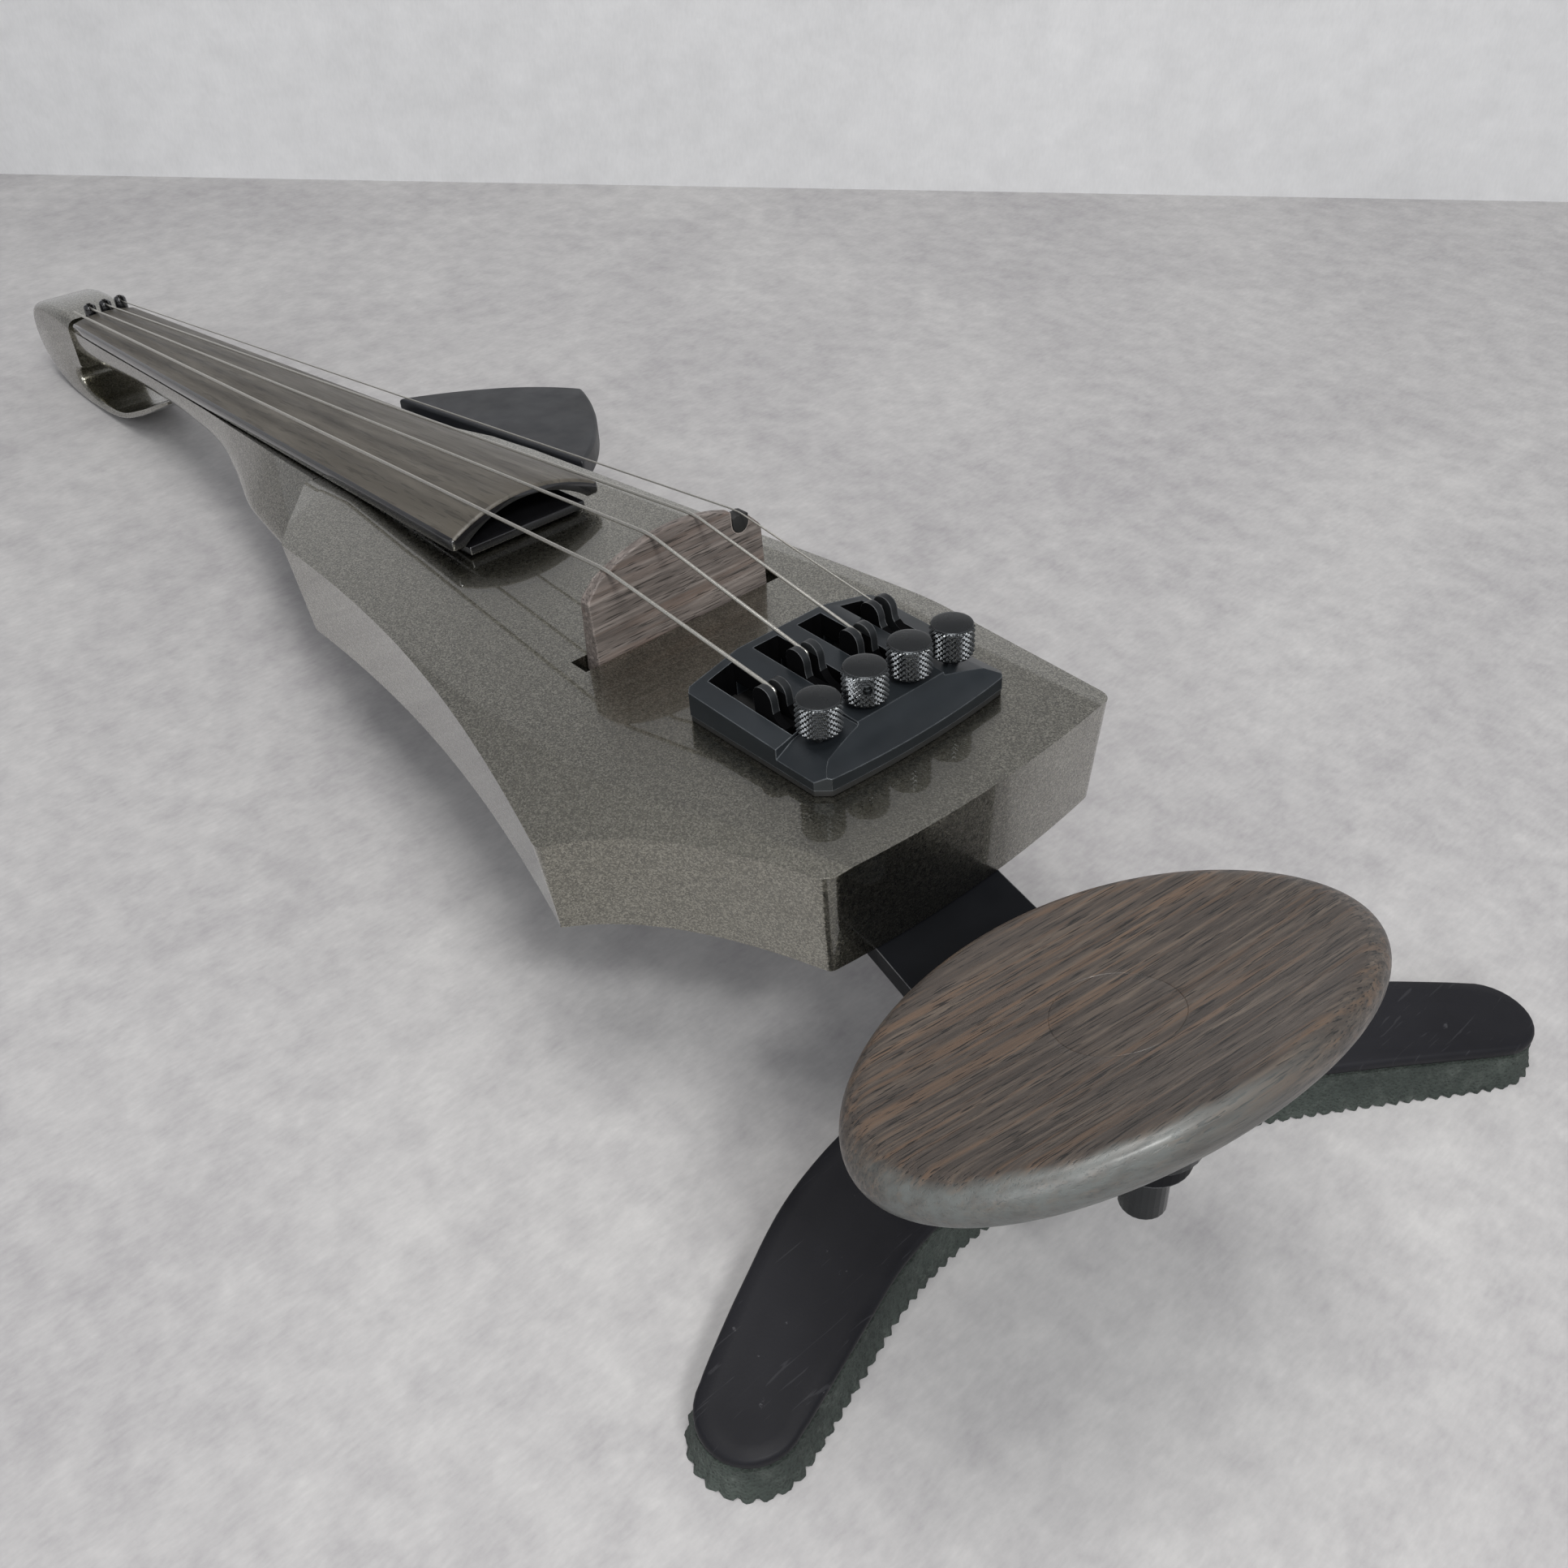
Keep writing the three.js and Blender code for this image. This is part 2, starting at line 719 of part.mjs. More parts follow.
function makeFingerboardSupport() {
  const end = boardStart + supportLength;
  const ring = (x) => {
    const top = boardBottom(x) - seatGap;
    return [
      new THREE.Vector3(x, -supportHalf, top - supportThickness),
      new THREE.Vector3(x, supportHalf, top - supportThickness),
      new THREE.Vector3(x, supportHalf, top),
      new THREE.Vector3(x, -supportHalf, top),
    ];
  };
  return piece('fingerboard_support', loft([ring(boardStart), ring(end)]), satinBlack());
}

// Strings and the line they follow

const lastString = strings.length - 1;
const stringY = (i, spread) => spread * (0.5 - i / lastString);
const stringBridgeZ = (i) => {
  const y = stringY(i, stringSpreadBridge);
  const crown = bridgeCrown - bridgeArch;
  return crown + Math.sqrt(bridgeArch ** 2 - y ** 2) + strings[i].radius + seatGap / 2;
};
const hookY = (i) => tunerMiddle + stringY(i, stringSpreadBridge);
const liftOf = (i) => (i > 0 && i < lastString ? middleLift : 0);
const nutTop = boardTopEdge(scaleLength) + archRise(boardArch, boardNutHalf, 0) + nutRise;
const stringNutZ = (i) => nutTop - nutRise / 2 + strings[i].radius;

function stringPath(i) {
  const { radius, hookX } = strings[i];
  const yBridge = stringY(i, stringSpreadBridge);
  const yNut = stringY(i, stringSpreadNut);
  const yHook = hookY(i);
  const saddle = leverTop + liftOf(i) - stringGap;
  const bend = stringGap * 1.2;
  const wrap = radius + seatGap / 2;
  const diagonal = wrap * 0.76;
  return [
    new THREE.Vector3(scaleLength + nutLength * 0.6, yNut, stringNutZ(i)),
    new THREE.Vector3(scaleLength, yNut, stringNutZ(i)),
    new THREE.Vector3(bridgeTop, yBridge, stringBridgeZ(i)),
    new THREE.Vector3(-bridgeTop, yBridge, stringBridgeZ(i)),
    new THREE.Vector3(hookX + bend, yHook, saddle + wrap + seatGap),
    new THREE.Vector3(hookX, yHook, saddle + wrap),
    new THREE.Vector3(hookX - diagonal, yHook, saddle + diagonal),
    new THREE.Vector3(hookX - wrap, yHook, saddle),
    new THREE.Vector3(hookX - wrap, yHook, saddle - bend * 2),
  ];
}

function makeString(i) {
  const path = stringPath(i);
  const { name, radius } = strings[i];
  const rings = path.map((p, k) => {
    const before = path[Math.max(k - 1, 0)];
    const after = path[Math.min(k + 1, path.length - 1)];
    const tangent = after.clone().sub(before).normalize();
    const side = new THREE.Vector3(0, 1, 0).cross(tangent).normalize();
    const across = tangent.clone().cross(side).normalize();
    return Array.from({ length: stringSides }, (_, s) => {
      const turn = (2 * Math.PI * s) / stringSides;
      return p.clone()
        .addScaledVector(side, radius * Math.cos(turn))
        .addScaledVector(across, radius * Math.sin(turn));
    });
  });
  return piece(`string_${name}`, loft(rings), steel());
}

// Nut: an arched bar with a slot and a lobe behind it for each string

function makeNut() {
  const from = scaleLength;
  const to = scaleLength + nutLength;
  const bottom = boardBottom(scaleLength);
  const top = nutTop - archRise(boardArch, nutHalf, 0);
  const bar = loft([from, to].map((x) => archRing(x, nutHalf, boardArch, top, bottom, 8)));
  const lobes = strings.map((_, i) => {
    const x = to - nutLobe;
    return rodZ(nutLobe, bottom + seatGap, nutTop + nutRise / 2, x, stringY(i, stringSpreadNut), 12);
  });
  const slots = strings.map((string, i) => {
    const y = stringY(i, stringSpreadNut);
    const half = string.radius + seatGap;
    const low = stringNutZ(i) - string.radius - seatGap / 2;
    const end = from + nutLength * 0.7;
    return boxBetween(from - overrun, end, y - half, y + half, low, nutTop + 2 * nutRise);
  });
  return piece('nut', cut(join(bar, ...lobes), ...slots), gumRubber());
}

// Bridge: a tapered plate with an arched crown and clipped shoulders

function bridgeShape() {
  const shape = new THREE.Shape();
  const edge = bridgeCrown - bridgeArch + Math.sqrt(bridgeArch ** 2 - (bridgeHalf * 0.86) ** 2);
  const steps = 12;
  shape.moveTo(-bridgeHalf, -bridgeSeat);
  shape.lineTo(bridgeHalf, -bridgeSeat);
  shape.lineTo(bridgeHalf, bridgeCorner * 0.84);
  shape.lineTo(bridgeHalf * 0.86, edge);
  for (let i = 1; i <= steps; i++) {
    const y = bridgeHalf * 0.86 * (1 - (2 * i) / steps);
    shape.lineTo(y, bridgeCrown - bridgeArch + Math.sqrt(bridgeArch ** 2 - y ** 2));
  }
  shape.lineTo(-bridgeHalf, bridgeCorner * 0.84);
  shape.closePath();
  return shape;
}

function bridgeBlank() {
  const geometry = new THREE.ExtrudeGeometry(bridgeShape(), { depth: 1, bevelEnabled: false });
  const position = geometry.attributes.position;
  for (let i = 0; i < position.count; i++) {
    const y = position.getX(i);
    const z = position.getY(i);
    const share = THREE.MathUtils.clamp((z + bridgeSeat) / (bridgeCrown + bridgeSeat), 0, 1);
    const thickness = THREE.MathUtils.lerp(bridgeFoot, bridgeTop, share);
    position.setXYZ(i, (position.getZ(i) - 0.5) * thickness, y, z);
  }
  return geometry;
}

// A block through the bridge at the last string, `half` wide to either side
function insertBlock(half, low, high) {
  const y = stringY(lastString, stringSpreadBridge);
  return boxBetween(-bridgeFoot, bridgeFoot, y - half, y + half, low, high);
}

function makeBridge() {
  const low = stringBridgeZ(lastString) - insertDepth;
  const pocket = insertBlock(insertWidth / 2, low, bridgeCrown + overrun);
  return piece('bridge', cut(bridgeBlank(), pocket), darkWood());
}

function makeBridgeInsert() {
  const half = insertWidth / 2 - seatGap / 2;
  const low = stringBridgeZ(lastString) - insertDepth + seatGap / 2;
  const block = insertBlock(half, low, bridgeCrown + overrun);
  const notchLow = low + insertDepth - seatGap - strings[lastString].radius * 2;
  const notch = insertBlock(half - insertWall, notchLow, bridgeCrown);
  return piece('bridge_insert', cut(common(bridgeBlank(), block), notch), gumRubber());
}

function makePickup() {
  const half = bridgeSlotLength / 2 - seatGap;
  const wall = bridgeFoot / 2;
  const low = -bridgeSlotDepth + seatGap;
  const bar = boxBetween(-wall, wall, -half, half, low, low + pickupHeight);
  return piece('bridge_pickup', bar, blackSteel());
}

// Tuner block: a hollow base, and for each string a knob, its screw, a nut and a forked lever

function tunerPlan(inset) {
  const front = -tunerFront - inset;
  const rear = -tunerRear + inset;
  const half = tunerHalf - inset;
  const bulge = tunerCorner;
  const shape = new THREE.Shape();
  shape.moveTo(front, half - tunerCorner / 2);
  shape.lineTo(front - tunerCorner / 2, half);
  shape.lineTo(rear + tunerCorner, half);
  shape.lineTo(rear, half - tunerCorner);
  shape.quadraticCurveTo(rear - bulge, 0, rear, -half + tunerCorner);
  shape.lineTo(rear + tunerCorner, -half);
  shape.lineTo(front - tunerCorner / 2, -half);
  shape.lineTo(front, -half + tunerCorner / 2);
  shape.closePath();
  return shape;
}

// The deck ends at a ridge behind the knobs, where a hollow apron runs down to the rear edge
function tunerSide() {
  const low = gasketThickness + 2 * seatGap;
  const high = tunerHeight + overrun;
  const ridge = knobX - knobRadius * 0.8;
  const edge = -tunerRear - tunerCorner - overrun;
  const shape = new THREE.Shape();
  shape.moveTo(-tunerFront + overrun, low);
  shape.lineTo(-tunerFront + overrun, high);
  shape.lineTo(ridge, high);
  shape.lineTo(ridge, tunerShelf);
  shape.quadraticCurveTo(ridge - tunerCorner, tunerTail, edge, tunerTail);
  shape.lineTo(edge, low);
  shape.closePath();
  return shape;
}

// Three facets across the deck, which falls from its front edge to its shelf at the knobs
function facetRing(x) {
  const middle = tunerHeight + ((x + tunerFront) * (tunerHeight - tunerShelf)) / (-knobX - tunerFront);
  const half = tunerHalf + overrun;
  const edge = middle - (tunerFacetDrop * (half - tunerFacetHalf)) / (tunerHalf - tunerFacetHalf);
  return [
    new THREE.Vector3(x, -half, -overrun),
    new THREE.Vector3(x, half, -overrun),
    new THREE.Vector3(x, half, edge),
    new THREE.Vector3(x, tunerFacetHalf, middle),
    new THREE.Vector3(x, -tunerFacetHalf, middle),
    new THREE.Vector3(x, -half, edge),
  ];
}

function makeTunerBase() {
  const blank = common(
    extrudeAcross(tunerSide(), 2 * (tunerHalf + overrun)),
    extrudeUp(tunerPlan(0), 0, tunerHeight + overrun),
  );
  const faceted = common(blank, loft([facetRing(-tunerRear - 3 * tunerCorner), facetRing(0)]));
  const hollowHalf = tunerHalf - tunerWall;
  const deckUnder = tunerShelf - tunerDeck;
  const hollowRear = -tunerRear + 2 * tunerWall;
  const hollow = boxBetween(hollowRear, -tunerFront - tunerWall, -hollowHalf, hollowHalf, 0, deckUnder);
  const pinReach = tunerHalf + overrun;
  const cutters = [hollow, rodY(pivotRadius + runGap / 2, -pinReach, pinReach, pivotX, pivotZ)];
  strings.forEach((_, i) => {
    const y = stringY(i, stringSpreadBridge);
    const half = slotWidth / 2;
    cutters.push(boxBetween(-slotRear, -slotFront, y - half, y + half, 0, tunerHeight + overrun));
    cutters.push(rodZ(screwRadius + runGap / 2, 0, tunerHeight + overrun, knobX, y, 16));
  });
  return piece('tuner_base', cut(faceted, ...cutters), satinBlack());
}

function makeGasket() {
  const sheet = extrudeUp(tunerPlan(seatGap), seatGap, seatGap + gasketThickness);
  return piece('tuner_gasket', cut(sheet, tunerWell(0, 0, tunerTail)), gumRubber());
}

function makeKnob(i) {
  const low = knobLow + liftOf(i);
  const blank = chamferedRod(knobRadius, low, low + knobHeight, knobRadius * 0.12, 32);
  const bore = rodZ(screwRadius + seatGap / 2, low - overrun, low + knobHeight * 0.6, 0, 0, 16);
  const mesh = piece(`tuner_knob_${strings[i].name}`, cut(blank, bore), blackSteel());
  mesh.position.set(knobX, stringY(i, stringSpreadBridge), 0);
  return mesh;
}

function makeTunerScrew(i) {
  const top = knobLow + liftOf(i) + knobHeight * 0.6 - seatGap;
  const collarTop = tunerShelf - tunerDeck - seatGap;
  const rod = rodZ(screwRadius, top - screwLength, top, 0, 0, 16);
  const collar = rodZ(screwRadius * 1.7, collarTop - collarHeight, collarTop, 0, 0, 16);
  const mesh = piece(`tuner_screw_${strings[i].name}`, join(rod, collar), blackSteel());
  mesh.position.set(knobX, stringY(i, stringSpreadBridge), 0);
  return mesh;
}

const forkTop = trunnionLow - forkClear;

function makeTrunnion(i) {
  const half = trunnionSize / 2;
  const wide = leverWidth / 2;
  const rise = (trunnionSize * 0.8) / 2;
  const block = boxBetween(-half, half, -wide, wide, -rise, rise);
  const bore = rodZ(screwRadius + trunnionPlay, -rise - overrun, rise + overrun, 0, 0, 16);
  const mesh = piece(`tuner_nut_${strings[i].name}`, cut(block, bore), brass());
  mesh.position.set(knobX, stringY(i, stringSpreadBridge), trunnionLow + rise);
  return mesh;
}

function leverShape(hookX, top) {
  const hook = hookX - pivotX;
  const rear = knobX - pivotX - trunnionSize * 0.7;
  const boss = pivotRadius + leverBoss;
  const fork = forkTop - pivotZ;
  const low = fork - leverFork;
  const shape = new THREE.Shape();
  shape.moveTo(rear, fork);
  shape.lineTo(rear, low);
  shape.lineTo(-boss, low);
  shape.quadraticCurveTo(boss, low, boss * 1.2, -boss * 0.6);
  shape.quadraticCurveTo(hook + leverHook * 0.94, boss / 2, hook + leverHook, top - leverHook * 0.94);
  shape.quadraticCurveTo(hook + leverHook * 0.97, top, hook, top);
  shape.quadraticCurveTo(hook - leverHook, top, hook - leverHook * 1.12, top - leverHook * 1.18);
  shape.quadraticCurveTo(hook - leverHook * 1.18, boss, -boss, boss);
  shape.lineTo(-boss, fork);
  shape.closePath();
  return shape;
}

function makeLever(i) {
  const { name, hookX } = strings[i];
  const hook = hookX - pivotX;
  const top = leverTop + liftOf(i) - pivotZ;
  const gapHalf = stringGap / 2;
  const saddle = top - stringGap;
  const rearEnd = knobX - pivotX - trunnionSize - overrun;
  const forkHalf = screwRadius + runGap;
  const forkEnd = knobX - pivotX + forkHalf + forkClear;
  const reach = 2 * leverHook + overrun;
  const geometry = cut(
    extrudeAcross(leverShape(hookX, top), leverWidth, 0, 6),
    rodY(pivotRadius + runGap / 2, -leverWidth, leverWidth, 0, 0, 16),
    boxBetween(hook - reach, hook + reach, -gapHalf, gapHalf, saddle, top + overrun),
    boxBetween(hook - reach, hook, -gapHalf, gapHalf, saddle - 2 * leverHook, saddle + overrun),
    boxBetween(rearEnd, forkEnd, -forkHalf, forkHalf, -leverTop, forkTop - pivotZ + overrun),
  );
  const mesh = piece(`tuner_lever_${name}`, geometry, satinBlack());
  mesh.position.set(pivotX, stringY(i, stringSpreadBridge), pivotZ);
  return mesh;
}

function makePivotPin() {
  const half = tunerHalf - seatGap;
  const mesh = piece('tuner_pivot_pin', rodY(pivotRadius, -half, half), steel());
  mesh.position.set(pivotX, 0, pivotZ);
  return mesh;
}

// Upper-bout plate: a flange under the heel with a raised wing on the treble side

const boutScrewPlaces = [heelStart + boutLength * 0.33, heelStart + boutLength * 0.7];

function wingShape() {
  const x = (share) => heelStart + boutLength * share;
  const y = (share) => -boutReach * share;
  const shape = new THREE.Shape();
  shape.moveTo(x(0.01), y(0.62));
  shape.quadraticCurveTo(x(0.16), y(0.88), x(0.468), y(1));
  shape.quadraticCurveTo(x(0.706), y(0.85), x(0.864), y(0.48));
  shape.closePath();
  return shape;
}

function flangeShape() {
  const x = (share) => heelStart + boutLength * share;
  const y = (share) => -boutReach * share;
  const shape = new THREE.Shape();
  shape.moveTo(x(0), noseHalf * 1.47);
  shape.lineTo(x(0), y(0.61));
  shape.lineTo(x(0.02), y(0.63));
  shape.lineTo(x(0.847), y(0.49));
  shape.lineTo(x(1), -noseHalf * 0.6);
  shape.lineTo(x(0.974), noseHalf * 0.62);
  shape.lineTo(x(0.762), noseHalf * 0.855);
  shape.lineTo(x(0.55), noseHalf * 1.14);
  shape.lineTo(x(0.271), noseHalf * 1.33);
  shape.closePath();
  return shape;
}

function makeBoutPlate() {
  const top = -heelBottom - seatGap;
  const low = top - boutThickness + seatGap;
  const flange = extrudeUp(flangeShape(), low, top);
  const wing = extrudeUpRounded(wingShape(), low, top + boutRise, boutEdgeRound, 2, 6);
  const holes = boutScrewPlaces.map((x) => screwHole(low - screwHeadHeight - seatGap, x, 0));
  return piece('upper_bout_plate', cut(join(flange, wing), ...holes), satinBlack());
}

function makeBoutScrew(k) {
  const headZ = -heelBottom - boutThickness - screwHeadHeight - 2 * seatGap;
  const mesh = piece(`upper_bout_screw_${k + 1}`, screwUp(headZ), blackSteel());
  mesh.position.set(boutScrewPlaces[k], 0, 0);
  return mesh;
}

// Electronics: cover, potentiometers, dials, jack socket, circuit board and pickup lead

const jackFlange = jackRadius * 1.35;
const jackSeat = trebleHalfAt(jackX + jackFlange);
const coverScrewPlaces = [
  [-cavityBack - coverMargin / 2, 0],
  [cavityFront + coverMargin / 2, 0],
];
const dialPlaces = [
  { name: 'volume', x: cavityBack / 2, y: -cavityHalf / 3 },
  { name: 'tone', x: cavityFront * 0.55, y: -cavityHalf / 3 },
];

function coverPlan(margin) {
  const half = cavityHalf + margin;
  const round = coverMargin;
  const x0 = -cavityBack - margin;
  const x1 = cavityFront + margin;
  const shape = new THREE.Shape();
  shape.moveTo(x0 + round, -half);
  shape.lineTo(x1 - round, -half);
  shape.absarc(x1 - round, -half + round, round, -Math.PI / 2, 0);
  shape.absarc(x1 - round, half - round, round, 0, Math.PI / 2);
  shape.absarc(x0 + round, half - round, round, Math.PI / 2, Math.PI);
  shape.absarc(x0 + round, -half + round, round, Math.PI, 1.5 * Math.PI);
  shape.closePath();
  return shape;
}

function coverRecess() {
  const floor = -bodyThickness;
  return extrudeUp(coverPlan(coverMargin + seatGap), floor - overrun, floor + coverThickness + seatGap, 3);
}

function makeCover() {
  const sheet = extrudeUp(coverPlan(coverMargin), -bodyThickness, -bodyThickness + coverThickness, 3);
  const holes = dialPlaces.map(({ x, y }) => {
    return rodZ(shaftRadius + seatGap, -bodyThickness - overrun, -bodyThickness + 2 * coverThickness, x, y);
  });
  const screws = coverScrewPlaces.map(([x, y]) => screwHole(-bodyThickness - screwHeadHeight, x, y));
  return piece('control_cover', cut(sheet, ...holes, ...screws), satinBlack());
}

function makeCoverScrew(k) {
  const headZ = -bodyThickness - screwHeadHeight - seatGap;
  const mesh = piece(`control_cover_screw_${k + 1}`, screwUp(headZ), blackSteel());
  mesh.position.set(coverScrewPlaces[k][0], coverScrewPlaces[k][1], 0);
  return mesh;
}

function makePot({ name, x, y }) {
  const low = -bodyThickness + coverThickness + seatGap;
  const can = rodZ(potRadius, low, low + potHeight, 0, 0, 24);
  const bore = rodZ(shaftRadius + seatGap, low - overrun, low + potHeight * 0.6, 0, 0, 16);
  const mesh = piece(`${name}_pot`, cut(can, bore), steel());
  mesh.position.set(x, y, 0);
  return mesh;
}

function makeDial({ name, x, y }) {
  const top = -bodyThickness - seatGap;
  const blank = chamferedRod(dialRadius, top - dialHeight, top, dialRadius * 0.12, 32);
  const shaftTop = -bodyThickness + coverThickness + potHeight * 0.6;
  const shaft = rodZ(shaftRadius, top - dialHeight / 2, shaftTop, 0, 0, 16);
  const mesh = piece(`${name}_knob`, join(blank, shaft), blackSteel());
  mesh.position.set(x, y, 0);
  return mesh;
}

function makeJack() {
  const face = -jackSeat - seatGap;
  const barrel = rodY(jackRadius, face - seatGap, face + jackLength, jackX, -jackZ, 28);
  const flange = rodY(jackFlange, face - jackBore / 2, face, jackX, -jackZ, 28);
  const bore = rodY(jackBore, face - overrun - jackBore, face + jackLength * 0.9, jackX, -jackZ, 20);
  return piece('jack_socket', cut(join(barrel, flange), bore), steel());
}

function makeCircuit() {
  const top = -cavityRoof - seatGap;
  const x = cavityFront - seatGap - boardSizeX;
  const y = cavityHalf - seatGap - boardSizeY;
  const sheet = boxBetween(x, x + boardSizeX, y, y + boardSizeY, top - circuitThickness, top);
  return piece('tone_board', sheet, circuit());
}

function makePickupLead() {
  const top = -bridgeSlotDepth;
  const low = -cavityRoof - circuitThickness * 2;
  return piece('pickup_lead', rodZ(bridgeTop / 2, low, top, 0, 0, 8), gumRubber());
}

// Bracket rail: a flat bar on the back that runs out past the tail towards the bass side

const railScrewPlaces = [-railFront / 2, railFront];
const railPoint = (s, t) => new THREE.Vector3(
  railPivotX - s * Math.cos(railAngle) - t * Math.sin(railAngle),
  railPivotY + s * Math.sin(railAngle) - t * Math.cos(railAngle),
  0,
);

// Straight flanks that draw in to a round end about the chinrest's post
function railShape() {
  const half = railWidth / 2;
  const end = railEndRadius;
  const first = chinStation - railTaper;
  const second = first + railTaper * 0.67;
  const third = first + railTaper / 2;
  const shape = new THREE.Shape();
  shape.moveTo(-railFront, -half);
  shape.lineTo(first, -half);
  shape.bezierCurveTo(second, -half, third, -end, chinStation, -end);
  shape.absarc(chinStation, 0, end, -Math.PI / 2, Math.PI / 2);
  shape.bezierCurveTo(third, end, second, half, first, half);
  shape.lineTo(-railFront, half);
  shape.closePath();
  return shape;
}

const railTop = -bodyThickness - seatGap;
const railLow = railTop - railThickness;

function makeRail() {
  const bar = extrudeUp(railShape(), railLow, railTop);
  const bores = [[chinStation, 0], [shoulderStation, shoulderAside]].map(([s, t]) => {
    return rodZ(postRadius + runGap / 2, railLow - overrun, railTop + overrun, s, t, 24);
  });
  const holes = railScrewPlaces.map((s) => screwHole(railLow - overrun, s, 0));
  return piece('bracket_rail', cut(bar, ...bores, ...holes), satinBlack());
}

function makeRailScrew(k) {
  const mesh = piece(`bracket_screw_${k + 1}`, screwUp(railLow - screwHeadHeight - seatGap), blackSteel());
  mesh.position.set(railScrewPlaces[k], 0, 0);
  return mesh;
}

// Posts slide in the rail; a cross barrel at the end carries a tilting bracket on a pin

function makePost(name, from, to, barrelZ) {
  const stem = rodZ(postRadius, from, to, 0, 0, 24);
  const barrel = rodY(barrelRadius, -barrelWidth / 2, barrelWidth / 2, 0, barrelZ, 20);
  const bore = rodY(pinRadius + runGap / 2, -barrelWidth, barrelWidth, 0, barrelZ, 16);
  return piece(name, cut(join(stem, barrel), bore), blackSteel());
}

function makeWheel(name, low) {
  const blank = chamferedRod(wheelRadius, low, low + wheelHeight, wheelHeight * 0.15, 32);
  const bore = rodZ(postRadius + runGap / 2, low - overrun, low + wheelHeight + overrun, 0, 0, 24);
  return piece(name, cut(blank, bore), blackSteel());
}

function makePin(name) {
  const half = barrelWidth / 2 + seatGap + earThickness;
  return piece(name, rodY(pinRadius, -half, half, 0, 0, 16), steel());
}

// Two ears on a foot of two round ends; `up` is 1 where the foot is above the pin and -1 below it
function makeEars(name, footZ, up, slideX = 0, slideY = 0) {
  const inner = barrelWidth / 2 + seatGap;
  const outer = inner + earThickness;
  const footThickness = earThickness;
  const footLow = up > 0 ? footZ - footThickness : footZ;
  const foot = join(
    rodZ(footRadius, footLow, footLow + footThickness, 0, 0, 28),
    rodZ(footRadius, footLow, footLow + footThickness, slideX, slideY, 28),
  );
  const earFar = up > 0 ? footLow + seatGap : footLow + footThickness - seatGap;
  const parts = [-1, 1].map((side) => {
    const y0 = side > 0 ? inner : -outer;
    const ear = rodY(barrelRadius, y0, y0 + earThickness, 0, 0, 20);
    const [low, high] = [Math.min(0, earFar), Math.max(0, earFar)];
    const web = boxBetween(-barrelRadius, barrelRadius, y0, y0 + earThickness, low, high);
    return join(ear, web);
  });
  const bore = rodY(pinRadius + seatGap / 2, -outer - overrun, outer + overrun, 0, 0, 16);
  const room = rodY(barrelRadius + runGap, -inner, inner, 0, 0, 20);
  return piece(name, cut(join(foot, ...parts), bore, room), satinBlack());
}

// Chinrest: an oval disc with a round rim, dished across, with a round plug over its fixing

function chinBlank() {
  const half = chinThickness / 2;
  const rim = 6;
  const profile = [new THREE.Vector2(0, -half)];
  const rimShare = half / chinShort;
  const coreShare = 0.55;
  for (let i = 0; i <= rim; i++) {
    const turn = -Math.PI / 2 + (Math.PI * i) / rim;
    profile.push(new THREE.Vector2(1 - rimShare + rimShare * Math.cos(turn), half * Math.sin(turn)));
    if (i === 0 || i === rim) {
      const inner = new THREE.Vector2(coreShare, half * Math.sin(turn));
      profile.splice(i === 0 ? 1 : profile.length, 0, inner);
    }
  }
  profile.push(new THREE.Vector2(0, half));
  const geometry = new THREE.LatheGeometry(profile, 40);
  geometry.rotateX(Math.PI / 2);
  const position = geometry.attributes.position;
  for (let i = 0; i < position.count; i++) {
    const u = position.getX(i);
    const v = position.getY(i);
    const dish = chinDishLong * u ** 2 + chinDishShort * v ** 2;
    position.setXYZ(i, u * chinLong, v * chinShort, position.getZ(i) + dish);
  }
  return geometry;
}

function makeChinrest() {
  const group = new THREE.Group();
  const plugLow = chinThickness / 2 - plugDepth;
  const well = rodZ(plugRadius, plugLow, chinThickness * 2, 0, 0, 32);
  const core = rodZ(plugRadius - seatGap / 2, plugLow + seatGap, chinThickness * 2, 0, 0, 32);
  const plate = piece('chinrest_plate', cut(chinBlank(), well), darkWood());
  const plug = piece('chinrest_plug', common(chinBlank(), core), darkWood());
  group.add(plate, plug);
  return group;
}

// Shoulder rest: a bent boomerang plate over a foam pad that meets the table

function restLine() {
  const lineShares = [
    [-0.26, 0.707],
    [-0.13, 0.525],
    [-0.02, 0.343],
    [0.02, 0.131],
    [-0.04, -0.091],
    [-0.185, -0.323],
    [-0.41, -0.545],
    [-0.685, -0.768],
    [-1, -1],
  ];
  return new THREE.CatmullRomCurve3(lineShares.map(([x, y]) => {
    return new THREE.Vector3(restSweep * x, restReach * y, 0);
  }));
}

